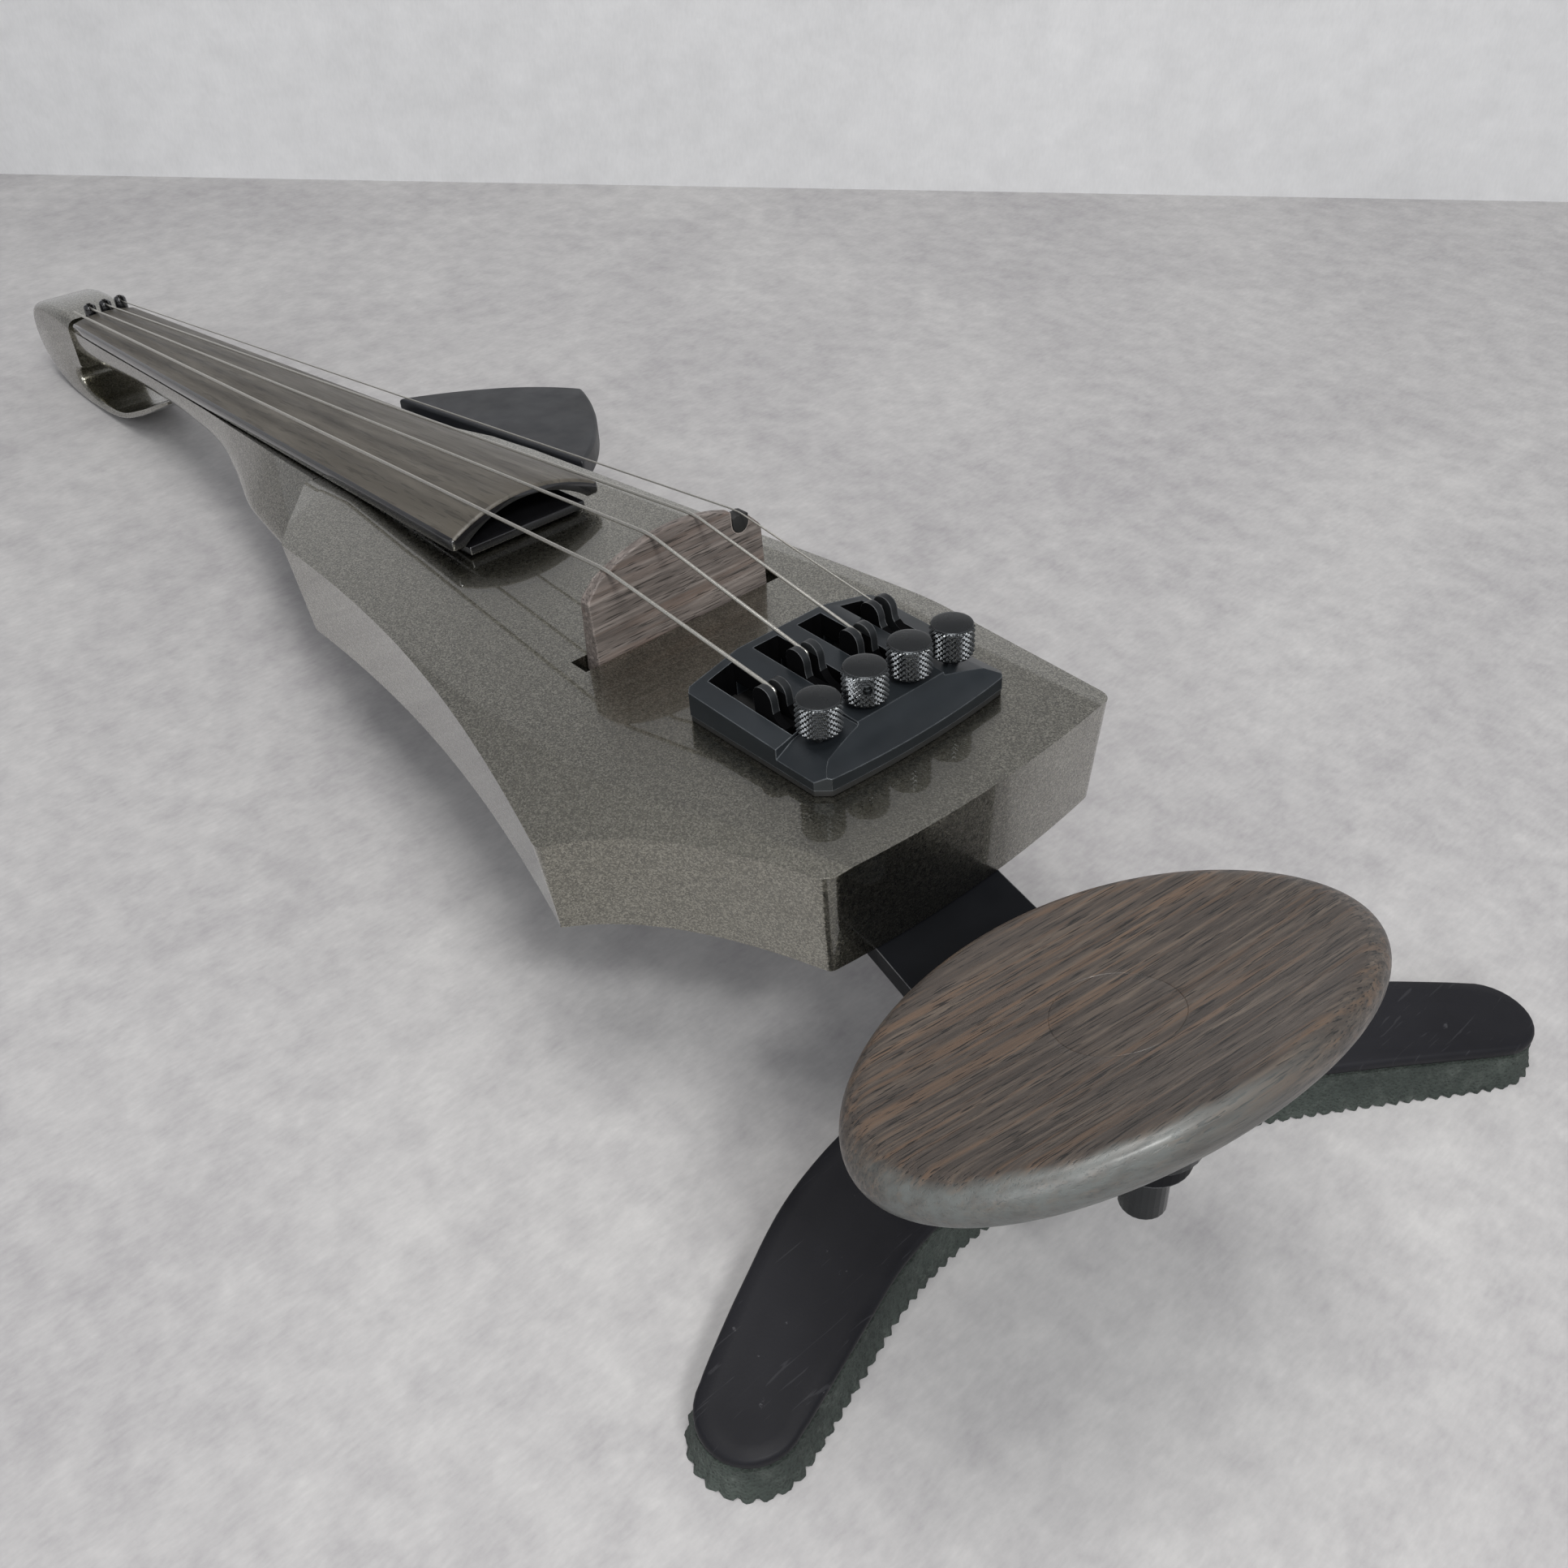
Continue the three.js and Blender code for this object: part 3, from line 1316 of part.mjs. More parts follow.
function restOutline(flare) {
  const line = restLine();
  const steps = 22;
  const capSteps = 6;
  const halfAt = (share) => {
    const middle = Math.sin(Math.PI * THREE.MathUtils.clamp(share, 0, 1)) ** 0.8;
    return THREE.MathUtils.lerp(restEndHalf, restMidHalf, middle) + flare;
  };
  const left = [];
  const right = [];
  for (let i = 0; i <= steps; i++) {
    const share = i / steps;
    const p = line.getPoint(share);
    const t = line.getTangent(share);
    const half = halfAt(share);
    left.push(new THREE.Vector2(p.x - t.y * half, p.y + t.x * half));
    right.push(new THREE.Vector2(p.x + t.y * half, p.y - t.x * half));
  }
  const cap = (share, forward) => {
    const p = line.getPoint(share);
    const t = line.getTangent(share).multiplyScalar(forward);
    const half = halfAt(share);
    return Array.from({ length: capSteps - 1 }, (_, k) => {
      const turn = (Math.PI * (k + 1)) / capSteps;
      const along = Math.sin(turn) * half;
      const across = Math.cos(turn) * half;
      return new THREE.Vector2(p.x + t.x * along - t.y * across, p.y + t.y * along + t.x * across);
    });
  };
  const outline = [...left, ...cap(1, 1), ...right.reverse(), ...cap(0, -1)];
  return new THREE.Shape(outline);
}

const restLift = (y) => -restDrop * ((y + restMiddle) / restArchReach) ** 2;

function restSheet(flare, lowOf, highOf) {
  const geometry = extrudeUp(restOutline(flare), 0, 1, 4);
  const position = geometry.attributes.position;
  for (let i = 0; i < position.count; i++) {
    const y = position.getY(i);
    const share = position.getZ(i);
    position.setZ(i, THREE.MathUtils.lerp(lowOf(y), highOf(y), share));
  }
  return geometry;
}

function makeShoulderRest(pivotHeight) {
  const group = new THREE.Group();
  const floor = -pivotHeight;
  const plateLow = (y) => floor + restRise - restPlate + restLift(y);
  const plateHigh = (y) => floor + restRise + restLift(y);
  const foamHigh = (y) => plateLow(y) - seatGap;
  const plate = piece('shoulder_rest_plate', restSheet(0, plateLow, plateHigh), satinBlack());
  const foam = piece('shoulder_rest_foam', restSheet(foamFlare, () => floor, foamHigh), foamGreen());
  const footZ = plateHigh(-restMiddle) + seatGap;
  group.add(plate, foam, makeEars('shoulder_rest_bracket', footZ, -1), makePin('shoulder_rest_pin'));
  return group;
}

// Assembly

function lowestPoint(mesh, tilt) {
  const turned = mesh.geometry.clone().rotateY(tilt);
  turned.computeBoundingBox();
  return turned.boundingBox.min.z;
}

function addTuners(group) {
  const tuners = new THREE.Group();
  tuners.position.y = tunerMiddle;
  tuners.add(makeTunerBase(), makeGasket(), makePivotPin());
  strings.forEach((_, i) => {
    tuners.add(makeKnob(i), makeTunerScrew(i), makeTrunnion(i), makeLever(i));
  });
  group.add(tuners);
}

function addElectronics(group) {
  group.add(makeCover(), makeJack(), makeCircuit(), makePickupLead());
  coverScrewPlaces.forEach((_, k) => group.add(makeCoverScrew(k)));
  dialPlaces.forEach((place) => group.add(makePot(place), makeDial(place)));
}

function addRail(instrument, lift) {
  const rail = new THREE.Group();
  rail.position.set(railPivotX, railPivotY, 0);
  rail.rotation.z = Math.PI - railAngle;
  rail.add(makeRail());
  railScrewPlaces.forEach((_, k) => rail.add(makeRailScrew(k)));
  instrument.add(rail);

  const chin = new THREE.Group();
  chin.position.set(chinStation, 0, 0);
  chin.rotation.z = railAngle - Math.PI;
  const chinPostTop = chinPivotZ - barrelRadius / 2;
  chin.add(makePost('chinrest_post', railLow - postBelow, chinPostTop, chinPivotZ));
  chin.add(makeWheel('chinrest_wheel', railTop + seatGap));
  const chinHead = new THREE.Group();
  chinHead.position.set(0, 0, chinPivotZ);
  chinHead.rotation.y = chinLean;
  chinHead.add(makePin('chinrest_pin'));
  chinHead.add(makeEars('chinrest_bracket', chinFoot + earThickness, 1, chinSlideX, chinSlideY));
  const oval = makeChinrest();
  oval.position.set(chinSlideX, chinSlideY, chinFoot + earThickness + seatGap + chinThickness / 2);
  oval.rotation.z = chinTurn;
  chinHead.add(oval);
  chin.add(chinHead);
  rail.add(chin);

  const shoulder = new THREE.Group();
  shoulder.position.set(shoulderStation, shoulderAside, 0);
  shoulder.rotation.z = railAngle - Math.PI;
  const shoulderPostLow = shoulderPivotZ + barrelRadius / 2;
  shoulder.add(makePost('shoulder_rest_post', shoulderPostLow, railTop - seatGap, shoulderPivotZ));
  shoulder.add(makeWheel('shoulder_rest_wheel', railLow - seatGap - wheelHeight));
  rail.add(shoulder);

  const place = railPoint(shoulderStation, shoulderAside);
  const level = new THREE.Group();
  level.position.set(place.x, place.y, shoulderPivotZ);
  level.rotation.y = -restTilt;
  const pivotHeight = lift - place.x * Math.sin(restTilt) + shoulderPivotZ * Math.cos(restTilt);
  level.add(makeShoulderRest(pivotHeight));
  instrument.add(level);
}

function makeViolin() {
  const violin = new THREE.Group();
  const instrument = new THREE.Group();
  instrument.rotation.y = restTilt;
  const neck = makeNeck();
  const lift = -lowestPoint(neck, restTilt);
  instrument.position.z = lift;
  instrument.add(makeBody(), neck, makeFingerboard(), makeFingerboardSupport(), makeNut());
  instrument.add(makeBridge(), makeBridgeInsert(), makePickup());
  strings.forEach((_, i) => instrument.add(makeString(i)));
  addTuners(instrument);
  instrument.add(makeBoutPlate());
  boutScrewPlaces.forEach((_, k) => instrument.add(makeBoutScrew(k)));
  addElectronics(instrument);
  addRail(instrument, lift);
  violin.add(instrument);
  violin.updateMatrixWorld(true);
  const box = new THREE.Box3().setFromObject(violin, true);
  const centre = box.getCenter(new THREE.Vector3());
  instrument.position.x -= centre.x;
  instrument.position.y -= centre.y;
  violin.updateMatrixWorld(true);
  return violin;
}

export default makeViolin();
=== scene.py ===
import json
import math

import bmesh
import bpy
import numpy as np
from mathutils import Matrix, Vector


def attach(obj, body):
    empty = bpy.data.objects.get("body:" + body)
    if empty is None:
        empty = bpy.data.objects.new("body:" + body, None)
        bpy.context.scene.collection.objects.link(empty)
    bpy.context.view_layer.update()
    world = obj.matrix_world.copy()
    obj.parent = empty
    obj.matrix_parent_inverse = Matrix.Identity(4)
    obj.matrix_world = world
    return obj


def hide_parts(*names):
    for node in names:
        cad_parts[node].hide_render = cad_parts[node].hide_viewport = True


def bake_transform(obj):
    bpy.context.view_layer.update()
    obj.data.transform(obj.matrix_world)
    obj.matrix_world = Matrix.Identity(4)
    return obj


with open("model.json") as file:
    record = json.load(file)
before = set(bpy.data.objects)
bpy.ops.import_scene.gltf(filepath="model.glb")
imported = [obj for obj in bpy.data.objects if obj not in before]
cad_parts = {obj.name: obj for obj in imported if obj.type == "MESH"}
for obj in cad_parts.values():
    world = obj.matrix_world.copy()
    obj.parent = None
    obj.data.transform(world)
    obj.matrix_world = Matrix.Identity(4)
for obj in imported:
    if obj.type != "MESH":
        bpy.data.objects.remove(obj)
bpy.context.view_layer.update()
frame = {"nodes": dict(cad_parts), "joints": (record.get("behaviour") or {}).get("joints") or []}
NODES = frame["nodes"]
JOINTS = {j["name"]: j for j in frame["joints"]}
ROOT = "instrument"
MM = 0.001

# The instrument's own frame: origin on the body's top under the bridge, +X to the head, +Y to the bass side.
# PIVOT is the g lever's pivot in it. Shapes are written in millimetres.
UP = Vector(JOINTS["tune_g"]["axis"])
TILT = Matrix.Rotation(math.atan2(UP.x, UP.z), 4, "Y")
PIVOT = Vector((-51.5, 15.6, 3.2)) * MM
INSTRUMENT = Matrix.Translation(Vector(JOINTS["lever_g_tilt"]["pos_m"]) - TILT.to_3x3() @ PIVOT) @ TILT

# Each string: name, radius of the CAD tube that sets its height, drawn radius, place of its hook
STRINGS = [
    ("g", 0.52, 0.43, -48.3), ("d", 0.48, 0.4, -44.6), ("a", 0.42, 0.35, -47.1), ("e", 0.36, 0.2, -41.1),
]
# Distance between the outer strings over the bridge and at the nut, and the middle of the tuner block
SPREAD, NUT_SPREAD = 35.2, 16.5
TUNER_Y = -2.0
# Radius of the fingerboard's and the bridge's crown
CROWN = 42
# The board from its body end to the nut: half widths, and height, fall per length and depth of its edge
BOARD_END, NUT_X = 57, 327
BOARD_HALF, NUT_HALF = 21, 11.4
EDGE_HIGH, EDGE_FALL, EDGE_DEPTH = 6.3, 0.0567, 3.2
# Half the chinrest's thickness, length and width, and the radius of the plug in its middle
CHIN_THICK, CHIN_LONG, CHIN_WIDE, PLUG = 4.5, 46.0, 29.0, 10.0
# Radii that close a turned shape on its axis
ON_AXIS, NEAR_AXIS = 1e-4, 0.001


# Curves and meshes

def lerp(a, b, t):
    return a + (b - a) * t


def bezier(points, n):
    """Points along a quadratic or cubic curve, without its last point."""
    out = []
    for i in range(n):
        t = i / n
        level = [Vector(p) for p in points]
        while len(level) > 1:
            level = [a.lerp(b, t) for a, b in zip(level, level[1:])]
        out.append(level[0])
    return out


def catmull(rows, n):
    """n + 1 samples of a smooth curve through rows of numbers, evenly spaced in parameter."""
    pts = np.array(rows, float)
    ext = np.vstack([2 * pts[0] - pts[1], pts, 2 * pts[-1] - pts[-2]])
    out = []
    for k in range(n + 1):
        u = k / n * (len(pts) - 1)
        i = min(int(u), len(pts) - 2)
        t = u - i
        p0, p1, p2, p3 = ext[i:i + 4]
        out.append(0.5 * (2 * p1 + (p2 - p0) * t + (2 * p0 - 5 * p1 + 4 * p2 - p3) * t ** 2
                          + (3 * p1 - p0 - 3 * p2 + p3) * t ** 3))
    return out


def arc_x(radius, y):
    return math.sqrt(max(radius ** 2 - y ** 2, 0))


def link(name, data, matrix):
    ob = bpy.data.objects.new(name, data)
    bpy.context.scene.collection.objects.link(ob)
    ob.matrix_world = matrix
    return ob


def build(name, verts, faces, matrix=INSTRUMENT, angle=30):
    """A smooth-shaded mesh from points in millimetres."""
    mesh = bpy.data.meshes.new(name)
    mesh.from_pydata([tuple(Vector(v) * MM) for v in verts], [], faces)
    bm = bmesh.new()
    bm.from_mesh(mesh)
    bmesh.ops.remove_doubles(bm, verts=bm.verts, dist=1e-7)
    bmesh.ops.recalc_face_normals(bm, faces=bm.faces)
    bm.to_mesh(mesh)
    bm.free()
    smooth(mesh, angle)
    return link(name, mesh, matrix)


def smooth(mesh, angle=30):
    mesh.polygons.foreach_set("use_smooth", [True] * len(mesh.polygons))
    mesh.set_sharp_from_angle(angle=math.radians(angle))
    mesh.update()


def loft(name, rings, matrix=INSTRUMENT, angle=30):
    """A closed skin over rings of equal length."""
    n = len(rings[0])
    verts = [p for ring in rings for p in ring]
    faces = []
    for r in range(len(rings) - 1):
        for i in range(n):
            a, b = r * n + i, r * n + (i + 1) % n
            faces.append((a, b, b + n, a + n))
    faces.append(tuple(range(n))[::-1])
    faces.append(tuple(range((len(rings) - 1) * n, len(rings) * n)))
    return build(name, verts, faces, matrix, angle)


def circle(radius, z, steps):
    turns = [2 * math.pi * k / steps for k in range(steps)]
    return [(radius * math.cos(a), radius * math.sin(a), z) for a in turns]


def lathe(name, profile, matrix=INSTRUMENT, steps=64, angle=30):
    """A solid turned about Z from (radius, z) pairs that start and end on the axis."""
    return loft(name, [circle(max(r, ON_AXIS), z, steps) for r, z in profile], matrix, angle)


def prism(name, outline, low, high, matrix=INSTRUMENT, axis=2):
    """A prism along an axis, over an outline of the other two coordinates."""
    return loft(name, [[(*p[:axis], at, *p[axis:]) for p in outline] for at in (low, high)], matrix)


def shifted(x, y, z):
    """The instrument's frame moved by a length along each axis."""
    return INSTRUMENT @ Matrix.Translation(Vector((x, y, z)) * MM)


def modify(ob, kind, **settings):
    m = ob.modifiers.new(kind.lower(), kind)
    for key, value in settings.items():
        setattr(m, key, value)


def applied(ob, angle=30):
    """The object with its modifiers baked into its mesh."""
    graph = bpy.context.evaluated_depsgraph_get()
    mesh = bpy.data.meshes.new_from_object(ob.evaluated_get(graph))
    ob.modifiers.clear()
    ob.data = mesh
    smooth(mesh, angle)
    return ob


def bevelled(ob, width, segments=3, limit=30, angle=30):
    modify(ob, "BEVEL", width=width * MM, segments=segments, limit_method="ANGLE",
           angle_limit=math.radians(limit), use_clamp_overlap=True)
    return applied(ob, angle)


def weighted(ob):
    modify(ob, "WEIGHTED_NORMAL", keep_sharp=True, weight=80)
    return ob


def carve(ob, *cutters, operation="DIFFERENCE", angle=30):
    for cutter in cutters:
        modify(ob, "BOOLEAN", operation=operation, object=cutter, solver="EXACT")
    bpy.context.view_layer.update()
    applied(ob, angle)
    for cutter in cutters:
        bpy.data.objects.remove(cutter)


def box(name, x0, x1, y0, y1, z0, z1, matrix=INSTRUMENT):
    verts = [(x, y, z) for x in (x0, x1) for y in (y0, y1) for z in (z0, z1)]
    faces = [(0, 1, 3, 2), (4, 6, 7, 5), (0, 4, 5, 1), (2, 3, 7, 6), (0, 2, 6, 4), (1, 5, 7, 3)]
    return build(name, verts, faces, matrix)


def joined(name, *obs):
    """One object out of several, in the frame of the first."""
    bm = bmesh.new()
    first = obs[0].matrix_world.copy()
    for ob in obs:
        ob.data.transform(first.inverted() @ ob.matrix_world)
        bm.from_mesh(ob.data)
        bpy.data.objects.remove(ob)
    mesh = bpy.data.meshes.new(name)
    bm.to_mesh(mesh)
    bm.free()
    smooth(mesh)
    return link(name, mesh, first)


def place(ob, body, slot, paint, *nodes):
    """Paints an object, puts it on its body and hides the CAD nodes that it stands for."""
    ob.data.materials.clear()
    ob.data.materials.append(paint)
    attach(ob, body)
    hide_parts(*nodes)


def blacken(ob, paint, chosen):
    """Gives a black paint to the faces that are chosen by centre, in mm, and normal."""
    ob.data.materials.append(paint)
    for f in ob.data.polygons:
        if chosen(f.center / MM, f.normal):
            f.material_index = len(ob.data.materials) - 1


# Materials

class Paint:
    """A small builder for node materials."""

    def __init__(self, name, **inputs):
        self.material = bpy.data.materials.new(name)
        self.material.use_nodes = True
        self.tree = self.material.node_tree
        self.shader = self.tree.nodes["Principled BSDF"]
        for key, value in inputs.items():
            self.shader.inputs[key.replace("_", " ")].default_value = value
        self.where = self.node("ShaderNodeTexCoord").outputs["Object"]

    def node(self, kind, inputs=None, **settings):
        made = self.tree.nodes.new(kind)
        for key, value in settings.items():
            setattr(made, key, value)
        for key, value in (inputs or {}).items():
            socket = made.inputs[key]
            if isinstance(value, bpy.types.NodeSocket):
                self.tree.links.new(value, socket)
            else:
                socket.default_value = value
        return made

    def to(self, key, socket):
        self.tree.links.new(socket, self.shader.inputs[key])

    def scaled(self, x, y, z, turn=(0, 0, 0)):
        inputs = {"Vector": self.where, "Scale": (x, y, z), "Rotation": turn}
        return self.node("ShaderNodeMapping", inputs).outputs[0]

    def noise(self, scale, detail=3, rough=0.5, vector=None, distortion=0):
        inputs = {"Vector": vector or self.where, "Scale": scale, "Detail": detail, "Roughness": rough,
                  "Distortion": distortion}
        return self.node("ShaderNodeTexNoise", inputs).outputs["Fac"]

    def cells(self, scale):
        return self.node("ShaderNodeTexVoronoi", {"Vector": self.where, "Scale": scale}).outputs

    def ramp(self, fac, *stops):
        made = self.node("ShaderNodeValToRGB", {"Fac": fac})
        ramp = made.color_ramp
        while len(ramp.elements) < len(stops):
            ramp.elements.new(0.5)
        for element, (at, colour) in zip(ramp.elements, stops):
            element.position = at
            value = colour if isinstance(colour, tuple) else (colour,) * 3
            element.color = (*value, 1)
        return made.outputs["Color"]

    def mix(self, fac, a, b):
        a, b = ((*v, 1) if isinstance(v, tuple) else v for v in (a, b))
        return self.node("ShaderNodeMix", {0: fac, 6: a, 7: b}, data_type="RGBA").outputs[2]

    def math(self, operation, a, b=0.0):
        return self.node("ShaderNodeMath", {0: a, 1: b}, operation=operation).outputs[0]

    def bump(self, height, strength, distance, key="Normal"):
        inputs = {"Height": height, "Strength": strength, "Distance": distance}
        self.to(key, self.node("ShaderNodeBump", inputs).outputs[0])

    def clouds(self, scale, low, high):
        """Two colours mixed by a noise."""
        return self.mix(self.ramp(self.noise(scale, 4), (0.3, 0.0), (0.7, 1.0)), low, high)

    def edges(self, radius):
        """Above 0 near edges and 0 elsewhere, from a bevelled normal."""
        bevel = self.node("ShaderNodeBevel", {"Radius": radius}, samples=6).outputs[0]
        true = self.node("ShaderNodeNewGeometry").outputs["Normal"]
        dot = self.node("ShaderNodeVectorMath", {0: bevel, 1: true}, operation="DOT_PRODUCT").outputs["Value"]
        return self.math("SUBTRACT", 1.0, dot)

    def edge_glint_and_wear(self, radius, noise, start, stop):
        """Edges of a radius, broken up by a noise: the mask for painted glints on edges and for rubbed edges.
        """
        return self.ramp(self.math("MULTIPLY", self.edges(radius), noise), (start, 0.0), (stop, 1.0))


def times(colour, factor, more=0.0):
    return tuple(min(c * factor + more, 1) for c in colour)


def pewter_paint():
    """Metallic paint: flakes of many greys that lean a little, under a clear coat."""
    p = Paint("pewter_flake", Metallic=1.0, Coat_Weight=1.0, Coat_Roughness=0.03, Coat_IOR=1.75)
    flake = p.cells(3700.0)["Color"]
    tone = p.node("ShaderNodeSeparateColor", {"Color": flake}).outputs[0]
    base = p.ramp(tone, (0.0, (0.075, 0.072, 0.056)), (0.5, (0.18, 0.172, 0.136)), (1.0, (0.4, 0.384, 0.32)))
    drift = p.ramp(p.noise(9, 3), (0.3, (0.18, 0.171, 0.138)), (0.7, (0.24, 0.228, 0.186)))
    p.to("Base Color", p.mix(0.22, base, drift))
    p.to("Roughness", p.ramp(p.noise(900, 2), (0.3, 0.25), (0.7, 0.34)))
    spread = p.node("ShaderNodeVectorMath", {0: flake, 1: (0.5, 0.5, 0.5)}, operation="SUBTRACT")
    small = p.node("ShaderNodeVectorMath", {0: spread.outputs[0], "Scale": 0.13}, operation="SCALE")
    true = p.node("ShaderNodeNewGeometry").outputs["Normal"]
    leaning = p.node("ShaderNodeVectorMath", {0: small.outputs[0], 1: true}, operation="ADD").outputs[0]
    p.to("Normal", p.node("ShaderNodeVectorMath", {0: leaning}, operation="NORMALIZE").outputs[0])
    p.bump(p.noise(55, 2), 0.03, 0.0003, key="Coat Normal")
    return p.material


def streaked_wood(name, dark, mid, light, rough, axis=0, grain=1.0, coat=0.0, streak=0.5, pore=0.75,
                  tint=None, vein=(7, 150), edge=0.0, relief=0.3):
    """Fine dark wood whose grain runs along one local axis, with shares of bands, pores and edges paled as a
    painted glint.
    """
    p = Paint(name, Coat_Weight=coat, Coat_Roughness=0.2)

    def stretched(along, across):
        scale = [across * grain] * 3
        scale[axis] = along * grain
        return p.scaled(*scale)

    bands = p.noise(1.0, 4, 0.6, stretched(5, 70), 0.6)
    fibres = p.noise(1.0, 5, 0.65, stretched(18, 420), 0.3)
    tone = p.ramp(fibres, (0.3, dark), (0.5, mid), (0.72, light))
    deep = p.mix(p.ramp(bands, (0.35, 0.0), (0.65, streak)), tone, mid)
    if tint:
        line = p.ramp(p.noise(1.0, 3, 0.6, stretched(*vein), 0.6), (0.52, 0.0), (0.66, 1.0))
        deep = p.mix(p.math("MULTIPLY", line, 0.6), deep, tint)
    hole = p.ramp(p.noise(1.0, 2, 0.5, stretched(70, 1500)), (0.36, 1.0), (0.43, 0.0))
    base = p.mix(p.math("MULTIPLY", hole, pore), deep, times(dark, 0.3))
    # Painted glint: the edges are paled towards a light tone.
    if edge:
        edge_glint_and_wear = p.edge_glint_and_wear(0.0006, p.noise(260, 3), 0.02, 0.1)
        base = p.mix(p.math("MULTIPLY", edge_glint_and_wear, edge), base, times(light, 1.7))
    p.to("Base Color", base)
    p.to("Roughness", p.ramp(fibres, (0.3, rough[1]), (0.7, rough[0])))
    height = p.math("SUBTRACT", p.math("MULTIPLY", fibres, 0.4), hole)
    p.bump(height, relief, 0.0001)
    return p


def rim_sheen_and_wear(p, long, short):
    """Paints an oval's rim pale along one long side, a painted sheen that is partly wear; the oval lies in
    the local XY plane.
    """
    x, y, _ = p.node("ShaderNodeSeparateXYZ", {"Vector": p.where}).outputs
    u, v = p.math("DIVIDE", x, long), p.math("DIVIDE", y, short)
    far = p.math("SQRT", p.math("ADD", p.math("MULTIPLY", u, u), p.math("MULTIPLY", v, v)))
    band = p.ramp(p.math("ADD", far, p.math("MULTIPLY", p.noise(110, 4), 0.09)), (0.96, 0.0), (1.0, 1.0))
    reach = p.math("MULTIPLY", p.ramp(p.math("ADD", v, 0.25), (0.0, 0.0), (0.5, 1.0)),
                   p.ramp(p.math("MULTIPLY", p.math("ADD", u, 1.0), 0.5), (0.35, 0.12), (0.7, 1.0)))
    fibre = p.ramp(p.noise(1.0, 4, 0.6, p.scaled(30, 600, 600)), (0.3, 0.4), (0.62, 0.95))
    sheen_and_wear = p.math("MULTIPLY", p.math("MULTIPLY", band, reach), fibre)
    base = p.shader.inputs["Base Color"].links[0].from_socket
    p.to("Base Color", p.mix(sheen_and_wear, base, (0.1, 0.108, 0.104)))
    return p


def satin(name, colour, rough, metal=0.0, depth=0.12, edge=0.0, shine=0.5):
    """Anodised or moulded black: fine orange peel, slight mottling, and edges paled as a painted glint."""
    p = Paint(name, Metallic=metal, Specular_IOR_Level=shine)
    base = p.clouds(60, times(colour, 0.78), times(colour, 1.25))
    # Painted glint: the edges are paled by the share edge, broken up by a noise.
    if edge:
        edge_glint_and_wear = p.edge_glint_and_wear(0.0005, p.noise(300, 3), 0.02, 0.12)
        base = p.mix(p.math("MULTIPLY", edge_glint_and_wear, edge), base, times(colour, 4, 0.13))
    p.to("Base Color", base)
    p.to("Roughness", p.ramp(p.noise(140, 4), (0.3, rough - 0.06), (0.7, rough + 0.08)))
    p.bump(p.noise(2600, 2), depth, 0.00004)
    return p.material


def steel(name, colour, rough, stretch=(60, 60, 60)):
    """Bare metal with fine scratches."""
    p = Paint(name, Metallic=1.0)
    scratch = p.noise(30, 5, 0.6, p.scaled(*stretch))
    p.to("Base Color", p.mix(p.ramp(scratch, (0.3, 0.0), (0.7, 1.0)), times(colour, 0.7), colour))
    p.to("Roughness", p.ramp(scratch, (0.3, rough - 0.08), (0.7, rough + 0.12)))
    p.bump(scratch, 0.1, 0.00003)
    return p.material


def foam_paint():
    """Open cells with their pits darkened as painted shade, and some dust on them."""
    p = Paint("foam_rubber", Roughness=0.95)
    cells = p.cells(1500.0)["Distance"]
    dust = p.ramp(p.noise(160, 5, 0.7), (0.5, 0.0), (0.74, 1.0))
    base = p.clouds(45, (0.018, 0.024, 0.021), (0.05, 0.062, 0.054))
    base = p.mix(p.math("MULTIPLY", dust, 0.35), base, (0.13, 0.145, 0.13))
    # Painted shade: the cells' pits are darkened.
    p.to("Base Color", p.mix(p.ramp(cells, (0.0, 0.8), (0.35, 0.0)), base, (0.006, 0.008, 0.007)))
    lumps = p.math("ADD", p.math("MULTIPLY", cells, 0.7), p.noise(420, 4))
    p.bump(lumps, 0.7, 0.0006)
    return p.material


def scuffed_plate():
    """Moulded black with scratches, chips and rubbed edges."""
    p = Paint("rest_plate_black", Metallic=0.0, Specular_IOR_Level=0.17)
    long_scratch = p.noise(1.0, 2, 0.5, p.scaled(900, 60, 60, (0, 0, 0.7)), 1.5)
    fine = p.ramp(long_scratch, (0.66, 0.0), (0.7, 1.0))
    chips = p.ramp(p.noise(210, 6, 0.75), (0.66, 0.0), (0.69, 1.0))
    marks = p.math("MAXIMUM", p.math("MULTIPLY", fine, 0.35), chips)
    edge_glint_and_wear = p.edge_glint_and_wear(0.0007, p.noise(260, 4, 0.7), 0.05, 0.2)
    base = p.clouds(30, (0.007, 0.007, 0.009), (0.014, 0.014, 0.017))
    base = p.mix(p.math("MULTIPLY", marks, 0.3), base, (0.13, 0.13, 0.14))
    p.to("Base Color", p.mix(p.math("MULTIPLY", edge_glint_and_wear, 0.4), base, (0.2, 0.21, 0.2)))
    p.to("Roughness", p.ramp(p.noise(90, 5), (0.3, 0.42), (0.7, 0.58)))
    p.bump(p.math("ADD", p.noise(1900, 2), p.math("MULTIPLY", marks, -0.8)), 0.18, 0.00008)
    return p.material


def plain(name, colour, rough, coat=0.0, depth=0.08):
    """One colour with a slight mottle and grain."""
    p = Paint(name, Coat_Weight=coat, Coat_Roughness=0.05)
    p.to("Base Color", p.mix(p.noise(80, 4), times(colour, 0.75), times(colour, 1.25)))
    p.to("Roughness", p.ramp(p.noise(220, 3), (0.3, rough - 0.05), (0.7, rough + 0.07)))
    p.bump(p.noise(1500, 2), depth, 0.00003)
    return p.material


